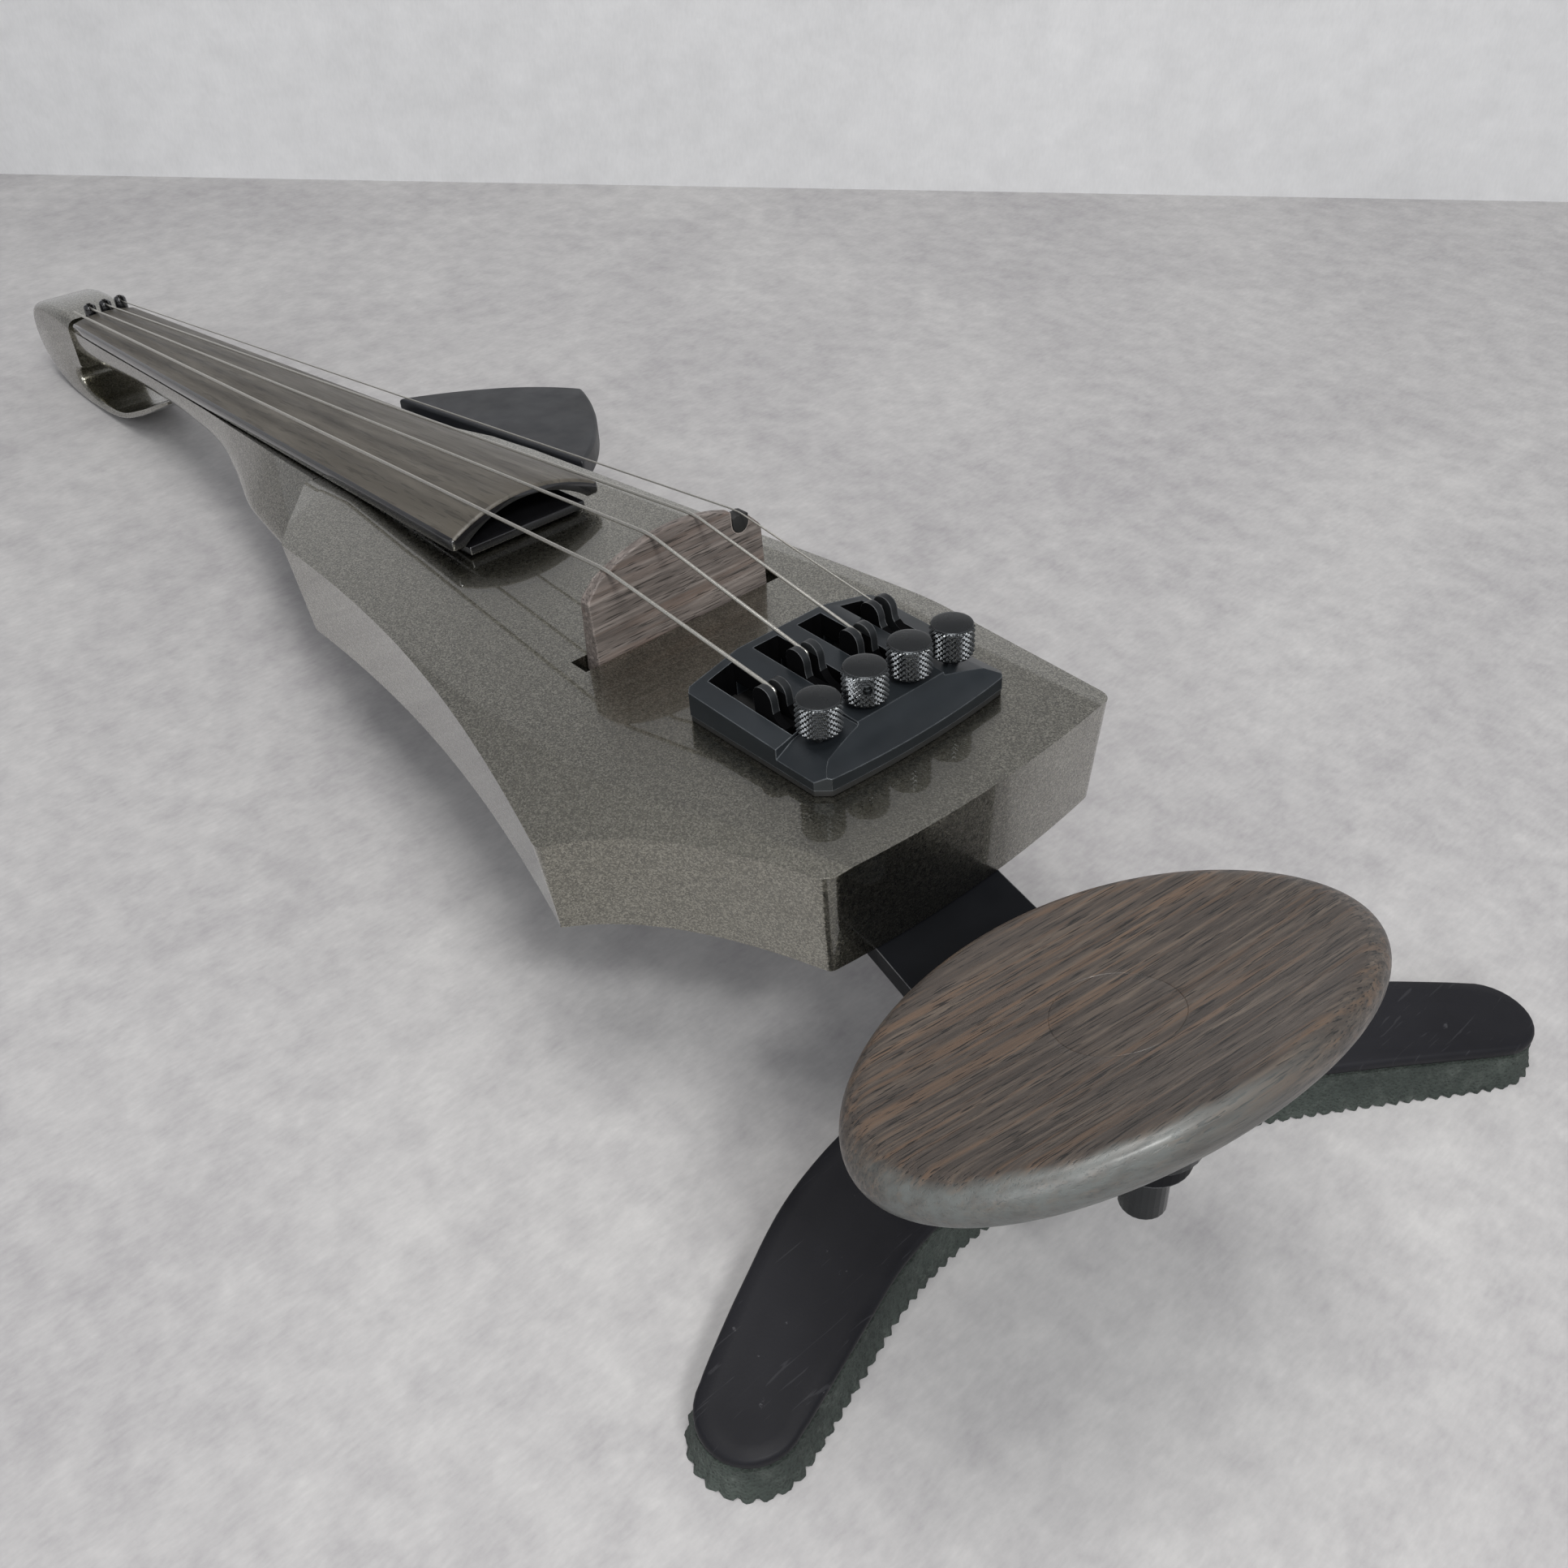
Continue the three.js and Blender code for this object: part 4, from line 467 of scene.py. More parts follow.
PEWTER = pewter_paint()
BOARD = streaked_wood("board_wood", (0.042, 0.036, 0.029), (0.07, 0.062, 0.05), (0.11, 0.098, 0.08),
                      rough=(0.36, 0.5), grain=0.8, streak=0.7, pore=0.4).material
# The bridge's edges carry a painted glint.
BRIDGE_WOOD = streaked_wood("bridge_wood", (0.055, 0.045, 0.04), (0.13, 0.11, 0.1), (0.27, 0.235, 0.215),
                            rough=(0.45, 0.65), axis=1, grain=2.0, streak=0.3, tint=(0.14, 0.095, 0.075),
                            edge=0.9, relief=0.6).material
# The chinrest's rim is paled along one long side: painted sheen, partly wear.
CHIN_WOOD = rim_sheen_and_wear(streaked_wood("chinrest_wood", (0.016, 0.013, 0.011), (0.052, 0.041, 0.034),
                                   (0.14, 0.108, 0.082), grain=2.3, rough=(0.36, 0.55), coat=0.15,
                                   tint=(0.125, 0.075, 0.045), vein=(8, 260), pore=0.9),
                     CHIN_LONG * MM, CHIN_WIDE * MM).material
# The edge share of these blacks pales their edges as a painted glint.
SATIN_BLACK = satin("satin_black", (0.02, 0.024, 0.028), rough=0.34, metal=0.45, edge=0.85)
KNOB_BLACK = satin("knob_black", (0.05, 0.053, 0.055), rough=0.25, metal=0.95, edge=0.6)
RAIL_BLACK = satin("rail_black", (0.005, 0.0055, 0.007), rough=0.5, edge=1.0, shine=0.1)
LEVER_BLACK = satin("lever_black", (0.02, 0.022, 0.024), rough=0.36, metal=0.5, edge=0.9)
PLATE_BLACK = satin("plate_black", (0.012, 0.013, 0.016), rough=0.42, edge=0.35, depth=0.2)
GLOSS_BLACK = plain("edge_gloss_black", (0.008, 0.008, 0.009), 0.12, coat=1.0)
RUBBER = plain("black_rubber", (0.01, 0.01, 0.01), 0.6, depth=0.2)
SHADE = satin("inner_shade_black", (0.0015, 0.0015, 0.0018), rough=0.8, shine=0.05)
PICKUP = plain("pickup_black", (0.012, 0.012, 0.012), 0.45)
STEEL = steel("satin_steel", (0.5, 0.5, 0.48), 0.3)
STRING = steel("string_steel", (0.72, 0.7, 0.64), 0.3, (900, 60, 60))
BRASS = steel("turned_brass", (0.55, 0.38, 0.15), 0.3)
CIRCUIT = plain("circuit_green", (0.02, 0.12, 0.06), 0.4)
FOAM = foam_paint()
REST_PLATE = scuffed_plate()


# Body: a rounded slab whose top slopes away outside a crease on either side

# Its corners seen from above, from the nose round by the bass side
NOSE, WAIST = (128, 23), (98, 44.5)
WING, TAIL = (-39.4, 65.5), (-85.2, 37)
TREBLE_TAIL, BELLY = (-85.2, -39.7), (-33, -43.7)
SHOULDER, TREBLE_NOSE = (98, -29), (128, -23)
TAIL_CROWN, TAIL_PULL = -90.8, -88
# Radius of the corner between each run of the outline and the next
CORNER_RADII = [3.0, 2.6, 4.5, 4.5, 70.0, 12.0]
# Height of the underside, how far it draws in, radius of the edges and slope outside the creases
UNDERSIDE, DRAW_IN, EDGE_RADIUS, SLOPE = -24.5, 2.4, 2.1, 8
# Rows across a slope, and the least step along it
SLOPE_ROWS, LEAST_STEP = 6, 0.01
# Openings as x, y and z limits: the bridge's slot and the tuners' well
BRIDGE_SLOT = (-2.7, 2.7, -27, 27, -8.5, 3)
WELL = (-65.7, -33.6, TUNER_Y - 22.3, TUNER_Y + 22.3, -11, 3)
# Room for the output socket, as radius and depth, and its place in the treble side
SOCKET_ROOM = [(0, -17), (6.1, -17), (6.1, 0), (8.13, 0), (8.13, 14), (0, 14)]
SOCKET_AT = (30, -35.75, -13)
# Points of the creases
BASS_CREASE = [(98, 56.5), (63.7, 52.1), (35.3, 48.9), (0, 48.9), (-39.6, 44.0), (-81.8, 32.8), (-92, 31.4)]
TREBLE_CREASE = [(128.2, -23.2), (98, -23.8), (29.4, -31.5), (-19.8, -36.5), (-57.2, -34.5), (-91, -35)]


def corner(before, at, after, radius, n=8):
    """Replaces a sharp corner between two runs of points by a small arc."""
    d1 = (at - before[-1]).normalized()
    d2 = (after[0] - at).normalized()
    turn = math.acos(max(-1, min(1, d1.dot(d2))))
    back = radius * math.tan(turn / 2)
    a, b = at - d1 * back, at + d2 * back
    before = [p for p in before if (p - at).length > back]
    after = [p for p in after if (p - at).length > back]
    return before, bezier([a, at, b], n) + [b], after


def straight(a, b, n):
    return [Vector(a).lerp(Vector(b), k / n) for k in range(n)]


def body_outline():
    runs = [
        straight(NOSE, WAIST, 6),
        bezier([WAIST, (WAIST[0] * 0.41, WAIST[1] * 1.01), (0, WING[1] * 0.825), WING], 90),
        bezier([WING, (TAIL_PULL * 0.568, WING[1] * 0.72), TAIL], 50),
        bezier([TAIL, (TAIL_CROWN, 0), TREBLE_TAIL], 40),
        bezier([TREBLE_TAIL, (TAIL_PULL * 0.67, BELLY[1] * 0.965), BELLY], 40),
        straight(BELLY, SHOULDER, 60),
        straight(SHOULDER, TREBLE_NOSE, 6),
    ]
    out = runs[0]
    for run, radius in zip(runs[1:], CORNER_RADII):
        out, arc, run = corner(out, run[0], run[1:], radius)
        out += arc + run
    return out + [Vector(TREBLE_NOSE)]


def crease_table(points):
    """Places and sides along a crease, in rising order of place."""
    rows = np.array(catmull(points, 300))[::-1]
    return rows[:, 0], rows[:, 1]


BASS_TABLE, TREBLE_TABLE = crease_table(BASS_CREASE), crease_table(TREBLE_CREASE)


def crease_y(x, bass):
    return float(np.interp(x, *(BASS_TABLE if bass else TREBLE_TABLE)))


def outside(x, y):
    """How far a point lies outside the crease of its side, negative when inside."""
    return y - crease_y(x, True) if y > 0 else crease_y(x, False) - y


def beyond(x, y):
    """Height of the top at a point: 0 inside the creases and falling outside them."""
    return -math.tan(math.radians(SLOPE)) * max(0.0, outside(x, y))


def inset(points, depth):
    """A closed outline moved sideways, to the left of its direction for a positive depth."""
    out = []
    n = len(points)
    for i in range(n):
        t = (points[(i + 1) % n] - points[i - 1]).normalized()
        out.append(points[i] - Vector((t.y, -t.x)) * depth)
    return out


def sloped_rows(line, start, stop, verts):
    """Rows of new vertices from the crease to the edge, between two outline points on the crease."""
    bass = line[start + 1].y > 0
    last, goal = line[start].x, line[stop].x
    way = 1 if goal > last else -1
    rows = [[start]]
    for k in range(start + 1, stop):
        x = line[k].x * way
        x = way * max(last * way + LEAST_STEP, min(x, goal * way - LEAST_STEP * (stop - k)))
        last = x
        base = Vector((x, crease_y(x, bass)))
        row = []
        for t in range(SLOPE_ROWS):
            q = base.lerp(line[k], t / SLOPE_ROWS)
            row.append(len(verts))
            verts.append((q.x, q.y, beyond(q.x, q.y)))
        rows.append(row + [k])
    return rows + [[stop]]


def sloped_faces(rows):
    faces = []
    for a, b in zip(rows, rows[1:]):
        for t in range(SLOPE_ROWS):
            if len(a) == 1:
                faces.append((a[0], b[t + 1], b[t]))
            elif len(b) == 1:
                faces.append((a[t], a[t + 1], b[0]))
            else:
                faces.append((a[t], a[t + 1], b[t + 1], b[t]))
    return faces


def make_body():
    line = body_outline()
    n = len(line)
    inside = [outside(p.x, p.y) <= 0 for p in line]
    verts = [(p.x, p.y, beyond(p.x, p.y)) for p in line]
    verts += [(p.x, p.y, UNDERSIDE) for p in inset(line, DRAW_IN)]
    faces = [(i, (i + 1) % n, (i + 1) % n + n, i + n) for i in range(n)]
    faces.append(tuple(range(n, 2 * n)))
    top = []
    i = 0
    while i < n:
        if inside[i] and (i + 1 == n or inside[i + 1]):
            top.append(i)
            i += 1
            continue
        stop = next(k for k in range(i + 1, n) if inside[k])
        rows = sloped_rows(line, i, stop, verts)
        faces += sloped_faces(rows)
        top += [row[0] for row in rows[:-1]]
        i = stop
    faces.append(tuple(top))
    ob = build("violin_body", verts, faces, angle=40)
    bevelled(ob, EDGE_RADIUS, 5, limit=38, angle=40)
    pocket = board_block("pocket", SUPPORT_HALF + 0.3, 55, SUPPORT_TO, -GAP - GAP - SUPPORT_THICK, 30)
    plane = board_block("plane", 70, 90, 140, -GAP, 30)
    room = lathe("socket_room", SOCKET_ROOM, shifted(*SOCKET_AT) @ Matrix.Rotation(math.pi / 2, 4, "X"))
    carve(ob, box("slot", *BRIDGE_SLOT), pocket, plane, box("well", *WELL), room, angle=40)
    place(weighted(ob), ROOT, "pewter_paint", PEWTER, "body")
    blacken(ob, SHADE, lambda c, n: -66 < c.x < -33 and abs(c.y - TUNER_Y) < 22.6 and -11.5 < c.z < -0.2)


# Fingerboard and its support

# The support: half its width, its thickness and its far end; and the gap between neighbours
SUPPORT_HALF, SUPPORT_THICK, SUPPORT_TO, GAP = 16.5, 2.2, 125, 0.3


def top_edge(x):
    return EDGE_HIGH + (BOARD_END - x) * EDGE_FALL


def board_low(x):
    return top_edge(x) - EDGE_DEPTH


def board_half(x):
    return lerp(BOARD_HALF, NUT_HALF, (x - BOARD_END) / (NUT_X - BOARD_END))


def board_block(name, half, x0, x1, under, high):
    """A block whose floor runs parallel to the board's underside."""
    rings = []
    for x in (x0, x1):
        z = board_low(x) + under
        rings.append([(x, -half, z), (x, half, z), (x, half, high), (x, -half, high)])
    return loft(name, rings)


def make_board():
    steps = 40
    stations = [(BOARD_END, 0.5), (BOARD_END + 0.35, 0.12), (BOARD_END + 1, 0)]
    stations += [(lerp(BOARD_END + 1, NUT_X - 1, k / 30), 0) for k in range(1, 31)] + [(NUT_X - 0.3, 0.3)]
    rings = []
    for x, pull in stations:
        half = board_half(x) - pull
        low, edge = board_low(x) + pull, top_edge(x)
        side = [(half - 0.5, low), (half, low + 0.5), (half, edge - 0.7), (half - 0.25, edge - 0.15)]
        ring = [(x, -y, z) for y, z in side]
        for k in range(steps + 1):
            y = lerp(-half + 0.8, half - 0.8, k / steps)
            ring.append((x, y, edge + arc_x(CROWN, y) - arc_x(CROWN, half - 0.4) - pull))
        rings.append(ring + [(x, y, z) for y, z in side[::-1]])
    ob = loft("fingerboard_wood", rings, angle=50)
    hollow_half, wall = 18, 2.2
    crown = arc_x(CROWN, 0) - arc_x(CROWN, BOARD_HALF) - wall + EDGE_DEPTH
    radius = (hollow_half ** 2 + crown ** 2) / (2 * crown)
    hollow = []
    for x in (50, 141):
        z = board_low(x)
        ring = [(x, -hollow_half - 0.6, z - 5)]
        for k in range(steps + 1):
            y = lerp(-hollow_half, hollow_half, k / steps)
            ring.append((x, y, z + arc_x(radius, y) - arc_x(radius, hollow_half)))
        hollow.append(ring + [(x, hollow_half + 0.6, z - 5)])
    carve(ob, loft("hollow", hollow), angle=50)
    bevelled(ob, 0.35, 2, limit=50, angle=50)
    place(ob, ROOT, "board_wood", BOARD, "fingerboard")

    def dark(c, normal):
        skin = top_edge(c.x) + arc_x(CROWN, c.y) - arc_x(CROWN, board_half(c.x))
        side = abs(c.y) > board_half(c.x) - 0.75 and c.z < top_edge(c.x) + 0.25
        return side or normal.z < 0.2 and c.z < skin - 0.6

    blacken(ob, GLOSS_BLACK, dark)


def make_support():
    half, thick = SUPPORT_HALF, SUPPORT_THICK
    rings = []
    for x in (BOARD_END, SUPPORT_TO):
        z = board_low(x) - GAP
        rings.append([(x, -half, z - thick), (x, half, z - thick), (x, half, z), (x, -half, z)])
    ob = bevelled(loft("fingerboard_support_plate", rings), 0.45, 3)
    place(ob, ROOT, "satin_black", GLOSS_BLACK, "fingerboard_support")


# Neck and head

# Sections of the neck: place, half width at the top and bottom, depth, and squareness of the corners
NECK_ROWS = [
    (112, 22, 34.4, 19.7, 22), (128, 20.4, 32.6, 19.7, 22), (149.8, 19.2, 29.6, 19.7, 20),
    (165.1, 18.2, 27, 19.7, 16), (185.6, 17, 20.5, 19.7, 9), (206.1, 15.7, 15.4, 19.7, 4.6),
    (230.4, 14.6, 14.2, 20, 2.7), (268.8, 13.2, 12.9, 20.8, 2.4), (302.1, 12.1, 11.8, 23.4, 2.6),
    (333.8, 10.6, 10.4, 26.2, 3),
]
# The treble side's share of the bass side's width at the body end, and the length over which it grows to 1
TREBLE_SHARE, TREBLE_RUN = 0.745, 74
# The head's outer and inner edge, as x and depth, in shares of its reach and depth from its start
HEAD_START, HEAD_REACH, HEAD_DEPTH, HEAD_HALF = 332.6, 42.5, 41.5, 11.5
HEAD_EDGES = [
    (0, 0.225, 0, 0.645), (0.29, 0.2, 0.09, 0.67), (0.64, 0.22, 0.14, 0.7), (0.88, 0.29, 0.165, 0.735),
    (0.985, 0.45, 0.17, 0.765), (0.97, 0.64, 0.155, 0.8), (0.85, 0.785, 0.115, 0.835),
    (0.61, 0.915, 0.045, 0.865), (0.285, 0.985, -0.06, 0.89), (-0.13, 1, -0.25, 0.91),
    (-0.55, 0.95, -0.58, 0.885), (-0.97, 0.815, -0.99, 0.755), (-1.33, 0.665, -1.35, 0.615),
    (-1.55, 0.565, -1.557, 0.542),
]


def neck_ring(x, top, bottom, depth, square, steps=60):
    ring = []
    z_top = board_low(x) - GAP
    treble = lerp(TREBLE_SHARE, 1, min((x - NECK_ROWS[0][0]) / TREBLE_RUN, 1))
    for i in range(steps + 1):
        turn = math.pi * i / steps
        drop = abs(math.sin(turn)) ** (2 / square)
        c = math.cos(turn)
        across = math.copysign(abs(c) ** (2 / square), c)
        half = lerp(top, bottom * treble if across < 0 else bottom, drop)
        ring.append((x, across * half, lerp(z_top, -depth, drop)))
    return ring


def head_ring(outer, inner, half, n=6):
    """A rounded section of the head between two points of its side view."""
    middle, lift = (outer + inner) / 2, (outer - inner) / 2
    thick = lift.length
    up = lift.normalized()
    ro, ri = min(3.6, thick * 0.8), min(1.8, thick * 0.5)
    ring = []
    for quarter, (sy, su, r) in enumerate(((1, 1, ro), (-1, 1, ro), (-1, -1, ri), (1, -1, ri))):
        for k in range(n + 1):
            turn = math.pi / 2 * (quarter + k / n)
            y = sy * (half - r) + r * math.cos(turn)
            rise = su * (thick - r) + r * math.sin(turn)
            ring.append((middle.x + up.x * rise, y, middle.y + up.y * rise))
    return ring


def make_neck():
    shaft = loft("neck_shaft", [neck_ring(*row) for row in catmull(NECK_ROWS, 70)], angle=50)
    rings = []
    samples = catmull(HEAD_EDGES, 90)
    for k, (xo, zo, xi, zi) in enumerate(samples):
        share = k / (len(samples) - 1)
        outer = Vector((HEAD_START + xo * HEAD_REACH, -zo * HEAD_DEPTH))
        inner = Vector((HEAD_START + xi * HEAD_REACH, -zi * HEAD_DEPTH))
        rings.append(head_ring(outer, inner, HEAD_HALF * (1 - 0.4 * share ** 5)))
    head = loft("neck_head", rings, angle=50)
    line = [(90, 44.8), (98, 44.8), (128.3, 23.3), (128.3, -23.3), (98, -29.3), (90, -29.3)]
    carve(shaft, prism("room", line, -60, 30), angle=50)
    ob = joined("neck_and_head", shaft, head)
    smooth(ob.data, 50)
    place(ob, ROOT, "pewter_paint", PEWTER, "neck")


# Strings, nut and bridge

# Top of the bridge and of the levers' hooks, and the nut's top at its middle
BRIDGE_TOP, HOOK_TOP = 22.5, 12.5
NUT_TOP = top_edge(NUT_X) + arc_x(CROWN, 0) - arc_x(CROWN, NUT_HALF) + 1.5


def string_y(i, spread):
    return spread * (0.5 - i / 3)


def hook_y(i):
    return TUNER_Y + string_y(i, SPREAD)


def raised(i):
    """The middle two knobs and hooks stand a little higher."""
    return 1.3 if i in (1, 2) else 0.0


def bridge_z(y):
    return BRIDGE_TOP - CROWN + arc_x(CROWN, y)


def make_string(i):
    """A string from the nut over the bridge into its lever's hook, bent over the bridge and round the hook.
    """
    name, seat, radius, hook = STRINGS[i]
    yb, yh, yn = string_y(i, SPREAD), hook_y(i), string_y(i, NUT_SPREAD)
    saddle = HOOK_TOP + raised(i) - 1.9
    zb = bridge_z(yb) + radius + 0.02
    zn = NUT_TOP - 0.75 + seat
    wrap, bend = seat + 0.15, 2.28
    turned = [(hook, yh, saddle + wrap)]
    for k in range(1, 7):
        a = math.pi / 2 * (1 + k / 6)
        turned.append((hook + wrap * math.cos(a), yh, saddle + wrap * math.sin(a)))
    over = [(2 * c, yb, zb - 0.05 * c * c) for c in (1, 0.5, 0, -0.5, -1)]
    path = [(NUT_X + 3, yn, zn), (NUT_X, yn, zn)]
    path += [tuple(Vector(path[-1]).lerp(Vector(over[0]), k / 12)) for k in range(1, 12)] + over
    saddle_in = Vector((hook + bend, yh, saddle + wrap + 0.3))
    path += [tuple(Vector(over[-1]).lerp(saddle_in, k / 6)) for k in range(1, 7)]
    path += turned + [(hook - wrap, yh, saddle - 2), (hook - wrap, yh, saddle - 4.5)]
    rings = []
    for k, p in enumerate(path):
        t = (Vector(path[min(k + 1, len(path) - 1)]) - Vector(path[max(k - 1, 0)])).normalized()
        side = Vector((0, 1, 0)).cross(t).normalized()
        across = t.cross(side)
        turns = [2 * math.pi * s / 14 for s in range(14)]
        rings.append([tuple(Vector(p) + (side * math.cos(a) + across * math.sin(a)) * radius) for a in turns])
    ob = loft(f"string_{name}_wire", rings, angle=60)
    ob.data.materials.append(STRING)
    ob.data.transform(ob.matrix_world)
    ob.matrix_world = Matrix.Identity(4)
    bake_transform(ob)
    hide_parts(f"string_{name}")


def make_nut():
    half, steps = NUT_HALF - 0.1, 24
    low = board_low(NUT_X)
    rings = []
    for x, pull in ((NUT_X, 0.3), (NUT_X + 0.3, 0), (NUT_X + 4.6, 0), (NUT_X + 5, 0.35)):
        ring = [(x, -half + pull, low + pull)]
        for k in range(steps + 1):
            y = lerp(-half + pull, half - pull, k / steps)
            ring.append((x, y, NUT_TOP - arc_x(CROWN, 0) + arc_x(CROWN, y) - pull))
        rings.append(ring + [(x, half - pull, low + pull)])
    parts = [loft("nut_bar", rings, angle=50)]
    top = [(2.05, 0.1), (1.7, 0.75), (1.0, 1.1), (0, 1.2)]
    profile = [(0, -12), (2.0, -12), (2.05, -9)] + [(r, NUT_TOP + z) for r, z in top]
    slots = []
    for i, (_, radius, _, _) in enumerate(STRINGS):
        y, h = string_y(i, NUT_SPREAD), radius + 0.25
        parts.append(lathe("lobe", profile, shifted(NUT_X + 2.9, y, 0), 32))
        slots.append(box("cut", NUT_X - 7, NUT_X + 3.6, y - h, y + h, NUT_TOP - 0.9, NUT_TOP + 5))
    ob = joined("nut_black", *parts)
    carve(ob, *slots, angle=40)
    place(ob, ROOT, "black_rubber", GLOSS_BLACK, "nut")


def make_bridge():
    half, foot, crown_half = 23.3, -3.4, 20.0
    ends = [(half, foot), (half, 13.2), (half - 0.1, 13.9), (half - 0.5, 14.5)]
    line = [(-half, foot)] + ends
    for k in range(41):
        y = crown_half * (1 - k / 20)
        line.append((y, bridge_z(y)))
    line += [(-y, z) for y, z in ends[:0:-1]]
    rings = []
    for side in (-1, 1):
        rings.append([(side * lerp(4.8, 2.0, (z - foot) / (BRIDGE_TOP - foot)) / 2, y, z) for y, z in line])
    ob = loft("bridge_plate", rings, angle=40)
    bevelled(ob, 0.35, 3, limit=30, angle=40)
    yb = string_y(3, SPREAD)
    top = bridge_z(yb)
    low = top + STRINGS[3][1] + 0.15 - 5
    pocket = bulb(yb, low, 2.3) + [(yb + 2.3, 30), (yb - 2.3, 30)]
    carve(ob, prism("pocket_e", pocket, -4, 4, axis=0), angle=40)
    place(weighted(ob), ROOT, "bridge_wood", BRIDGE_WOOD, "bridge")
    rim = [(yb + 2.15, top - 0.5), (yb + 0.85, top - 0.15), (yb + 0.75, top - 0.4)]
    rim += [(2 * yb - y, z) for y, z in rim[::-1]]
    insert = prism("insert", bulb(yb, low + 0.15, 2.15) + rim, -1.6, 1.6, axis=0)
    place(bevelled(insert, 0.2, 2), ROOT, "black_rubber", RUBBER, "bridge_insert")


def bulb(y, low, half):
    """The round foot of a slot, from its left flank to its right."""
    angles = [math.pi * (1 + k / 12) for k in range(13)]
    return [(y + half * math.cos(a), low + half * (1 + math.sin(a))) for a in angles]


# Tuner block

def make_tuner_base():
    half, front, rear, low, slot_half = 25.2, -31.0, -69.6, 1.4, 3.2
    lip = [tuple(p) for p in bezier([(rear, 22.8), (rear - 2.4, 0), (rear, -22.8)], 32)] + [(rear, -22.8)]
    plan = [(front, 24.0), (front - 1.2, half), (rear + 2.4, half)] + lip
    plan += [(rear + 2.4, -half), (front - 1.2, -half), (front, -24.0)]
    at = shifted(0, TUNER_Y, 0)
    block = prism("tuner_block", plan, low, 13, at)
    side = [(-29, low - 1), (-29, 14), (-64.6, 14), (-64.6, 8.5)]
    side += [tuple(p) for p in bezier([(-64.6, 8.5), (-66.6, 3.5), (-74, 3.4)], 20)]
    side += [(-80, 3.4), (-80, low - 1)]

    def deck(x):
        z = 9.8 + (x - front) * 0.04
        return [(x, -30, -2), (x, 30, -2), (x, 30, z - 4.3), (x, 11.3, z), (x, -11.3, z), (x, -30, z - 4.3)]

    facets = loft("facets", [deck(-90), deck(-20)], at)
    carve(block, prism("side", side, -30, 30, at, 1), facets, operation="INTERSECT")
    cuts = []
    for turn in (-1, 1):
        for line in ([(11.5, 7.9), (30, 3.6), (30, 14), (11.5, 14)],
                     [(19.6, 6.4), (25.6, 3.1), (30, 3.1), (30, 14), (19.6, 14)]):
            cuts.append(prism("flank", [(turn * y, z) for y, z in line], -75, -57.2, at, 0))
    cuts.append(box("hollow", -64.2, -33.6, -22.4, 22.4, 0, 4.6, at))
    middles = [string_y(i, SPREAD) for i in range(4)]
    cuts += [box("slot", -57.0, -33.0, y - slot_half, y + slot_half, 0, 14, at) for y in middles]
    carve(block, *cuts)
    bevelled(block, 0.3, 3, limit=22)
    place(weighted(block), ROOT, "satin_black", SATIN_BLACK, "tuner_base")
    blacken(block, SHADE, lambda c, n: abs(n.z) < 0.3 and -57.3 < c.x < -32.7
            and min(abs(c.y - y) for y in middles) < slot_half + 0.1)
    rim = [(x + (0.1 if x < -60 else -0.1), y * 0.995) for x, y in plan]
    gasket = bevelled(prism("tuner_gasket_sheet", rim, 0.05, 1.3, at), 0.2, 2)
    place(gasket, ROOT, "black_rubber", RUBBER, "tuner_gasket")


# A knob: radius and heights of its ends over its lever, and the count, pitch and depth of its knurl
KNOB_RADIUS, KNOB_LOW, KNOB_HIGH = 4.55, 8.45, 15.55
KNURLS, PITCH, KNURL_DEPTH = 22, 1.15, 0.5


def knurl_height(angle, z):
    """Height of a diamond knurl: two crossed sets of grooves."""
    k = KNURLS * angle / (2 * math.pi)
    s = z / PITCH
    a = abs(((k + s) % 1) - 0.5) * 2
    b = abs(((k - s) % 1) - 0.5) * 2
    return min(a, b)


def knurled(name, matrix):
    """A turned knob: diamond knurl over its whole side and a smooth, slightly domed top."""
    radius, low, edge = KNOB_RADIUS, KNOB_LOW, KNOB_HIGH - 0.75
    steps, rim, dome = KNURLS * 8, radius - 0.75, 0.29
    rows = int((edge - low) / (PITCH / 8))
    turns = [2 * math.pi * k / steps for k in range(steps)]
    rings = [circle(NEAR_AXIS, low, steps), circle(radius - 0.8, low, steps)]
    for j in range(rows + 1):
        z = lerp(low, edge, j / rows)
        fade = min(1, j / 3, (rows - j) / 2 + 0.15)
        ring = []
        for a in turns:
            r = radius - 0.3 - (1 - fade) * 0.3 + KNURL_DEPTH * fade * (knurl_height(a, z) - 0.45)
            ring.append((r * math.cos(a), r * math.sin(a), z))
        rings.append(ring)
    cap = [(radius - 0.45, 0.05), (radius - 0.38, 0.2), (radius - 0.46, 0.36), (rim, 0.46)]
    for k in range(1, 11):
        cap.append((max(rim * (1 - k / 10), NEAR_AXIS), 0.46 + dome * (1 - (1 - k / 10) ** 2)))
    rings += [circle(r, edge + z, steps) for r, z in cap]
    return loft(name, rings, matrix, angle=28)


def make_knobs():
    hole = [(0, 2.8), (0.95, 2.8), (0.95, 7), (0, 7)]
    for i, (name, *_) in enumerate(STRINGS):
        centre = shifted(-61, hook_y(i), raised(i))
        ob = knurled(f"tuner_knob_{name}_turned", centre @ Matrix.Rotation(0.31 * i, 4, "Z"))
        if name == "d":
            aim = Matrix.Rotation(math.radians(142), 4, "Z") @ Matrix.Rotation(math.pi / 2, 4, "Y")
            way = centre @ Matrix.Translation(Vector((0, 0, 12.3)) * MM) @ aim
            carve(ob, lathe("hole", hole, way, 24))
        place(ob, f"tuner_{name}", "black_steel", KNOB_BLACK, f"tuner_knob_{name}")


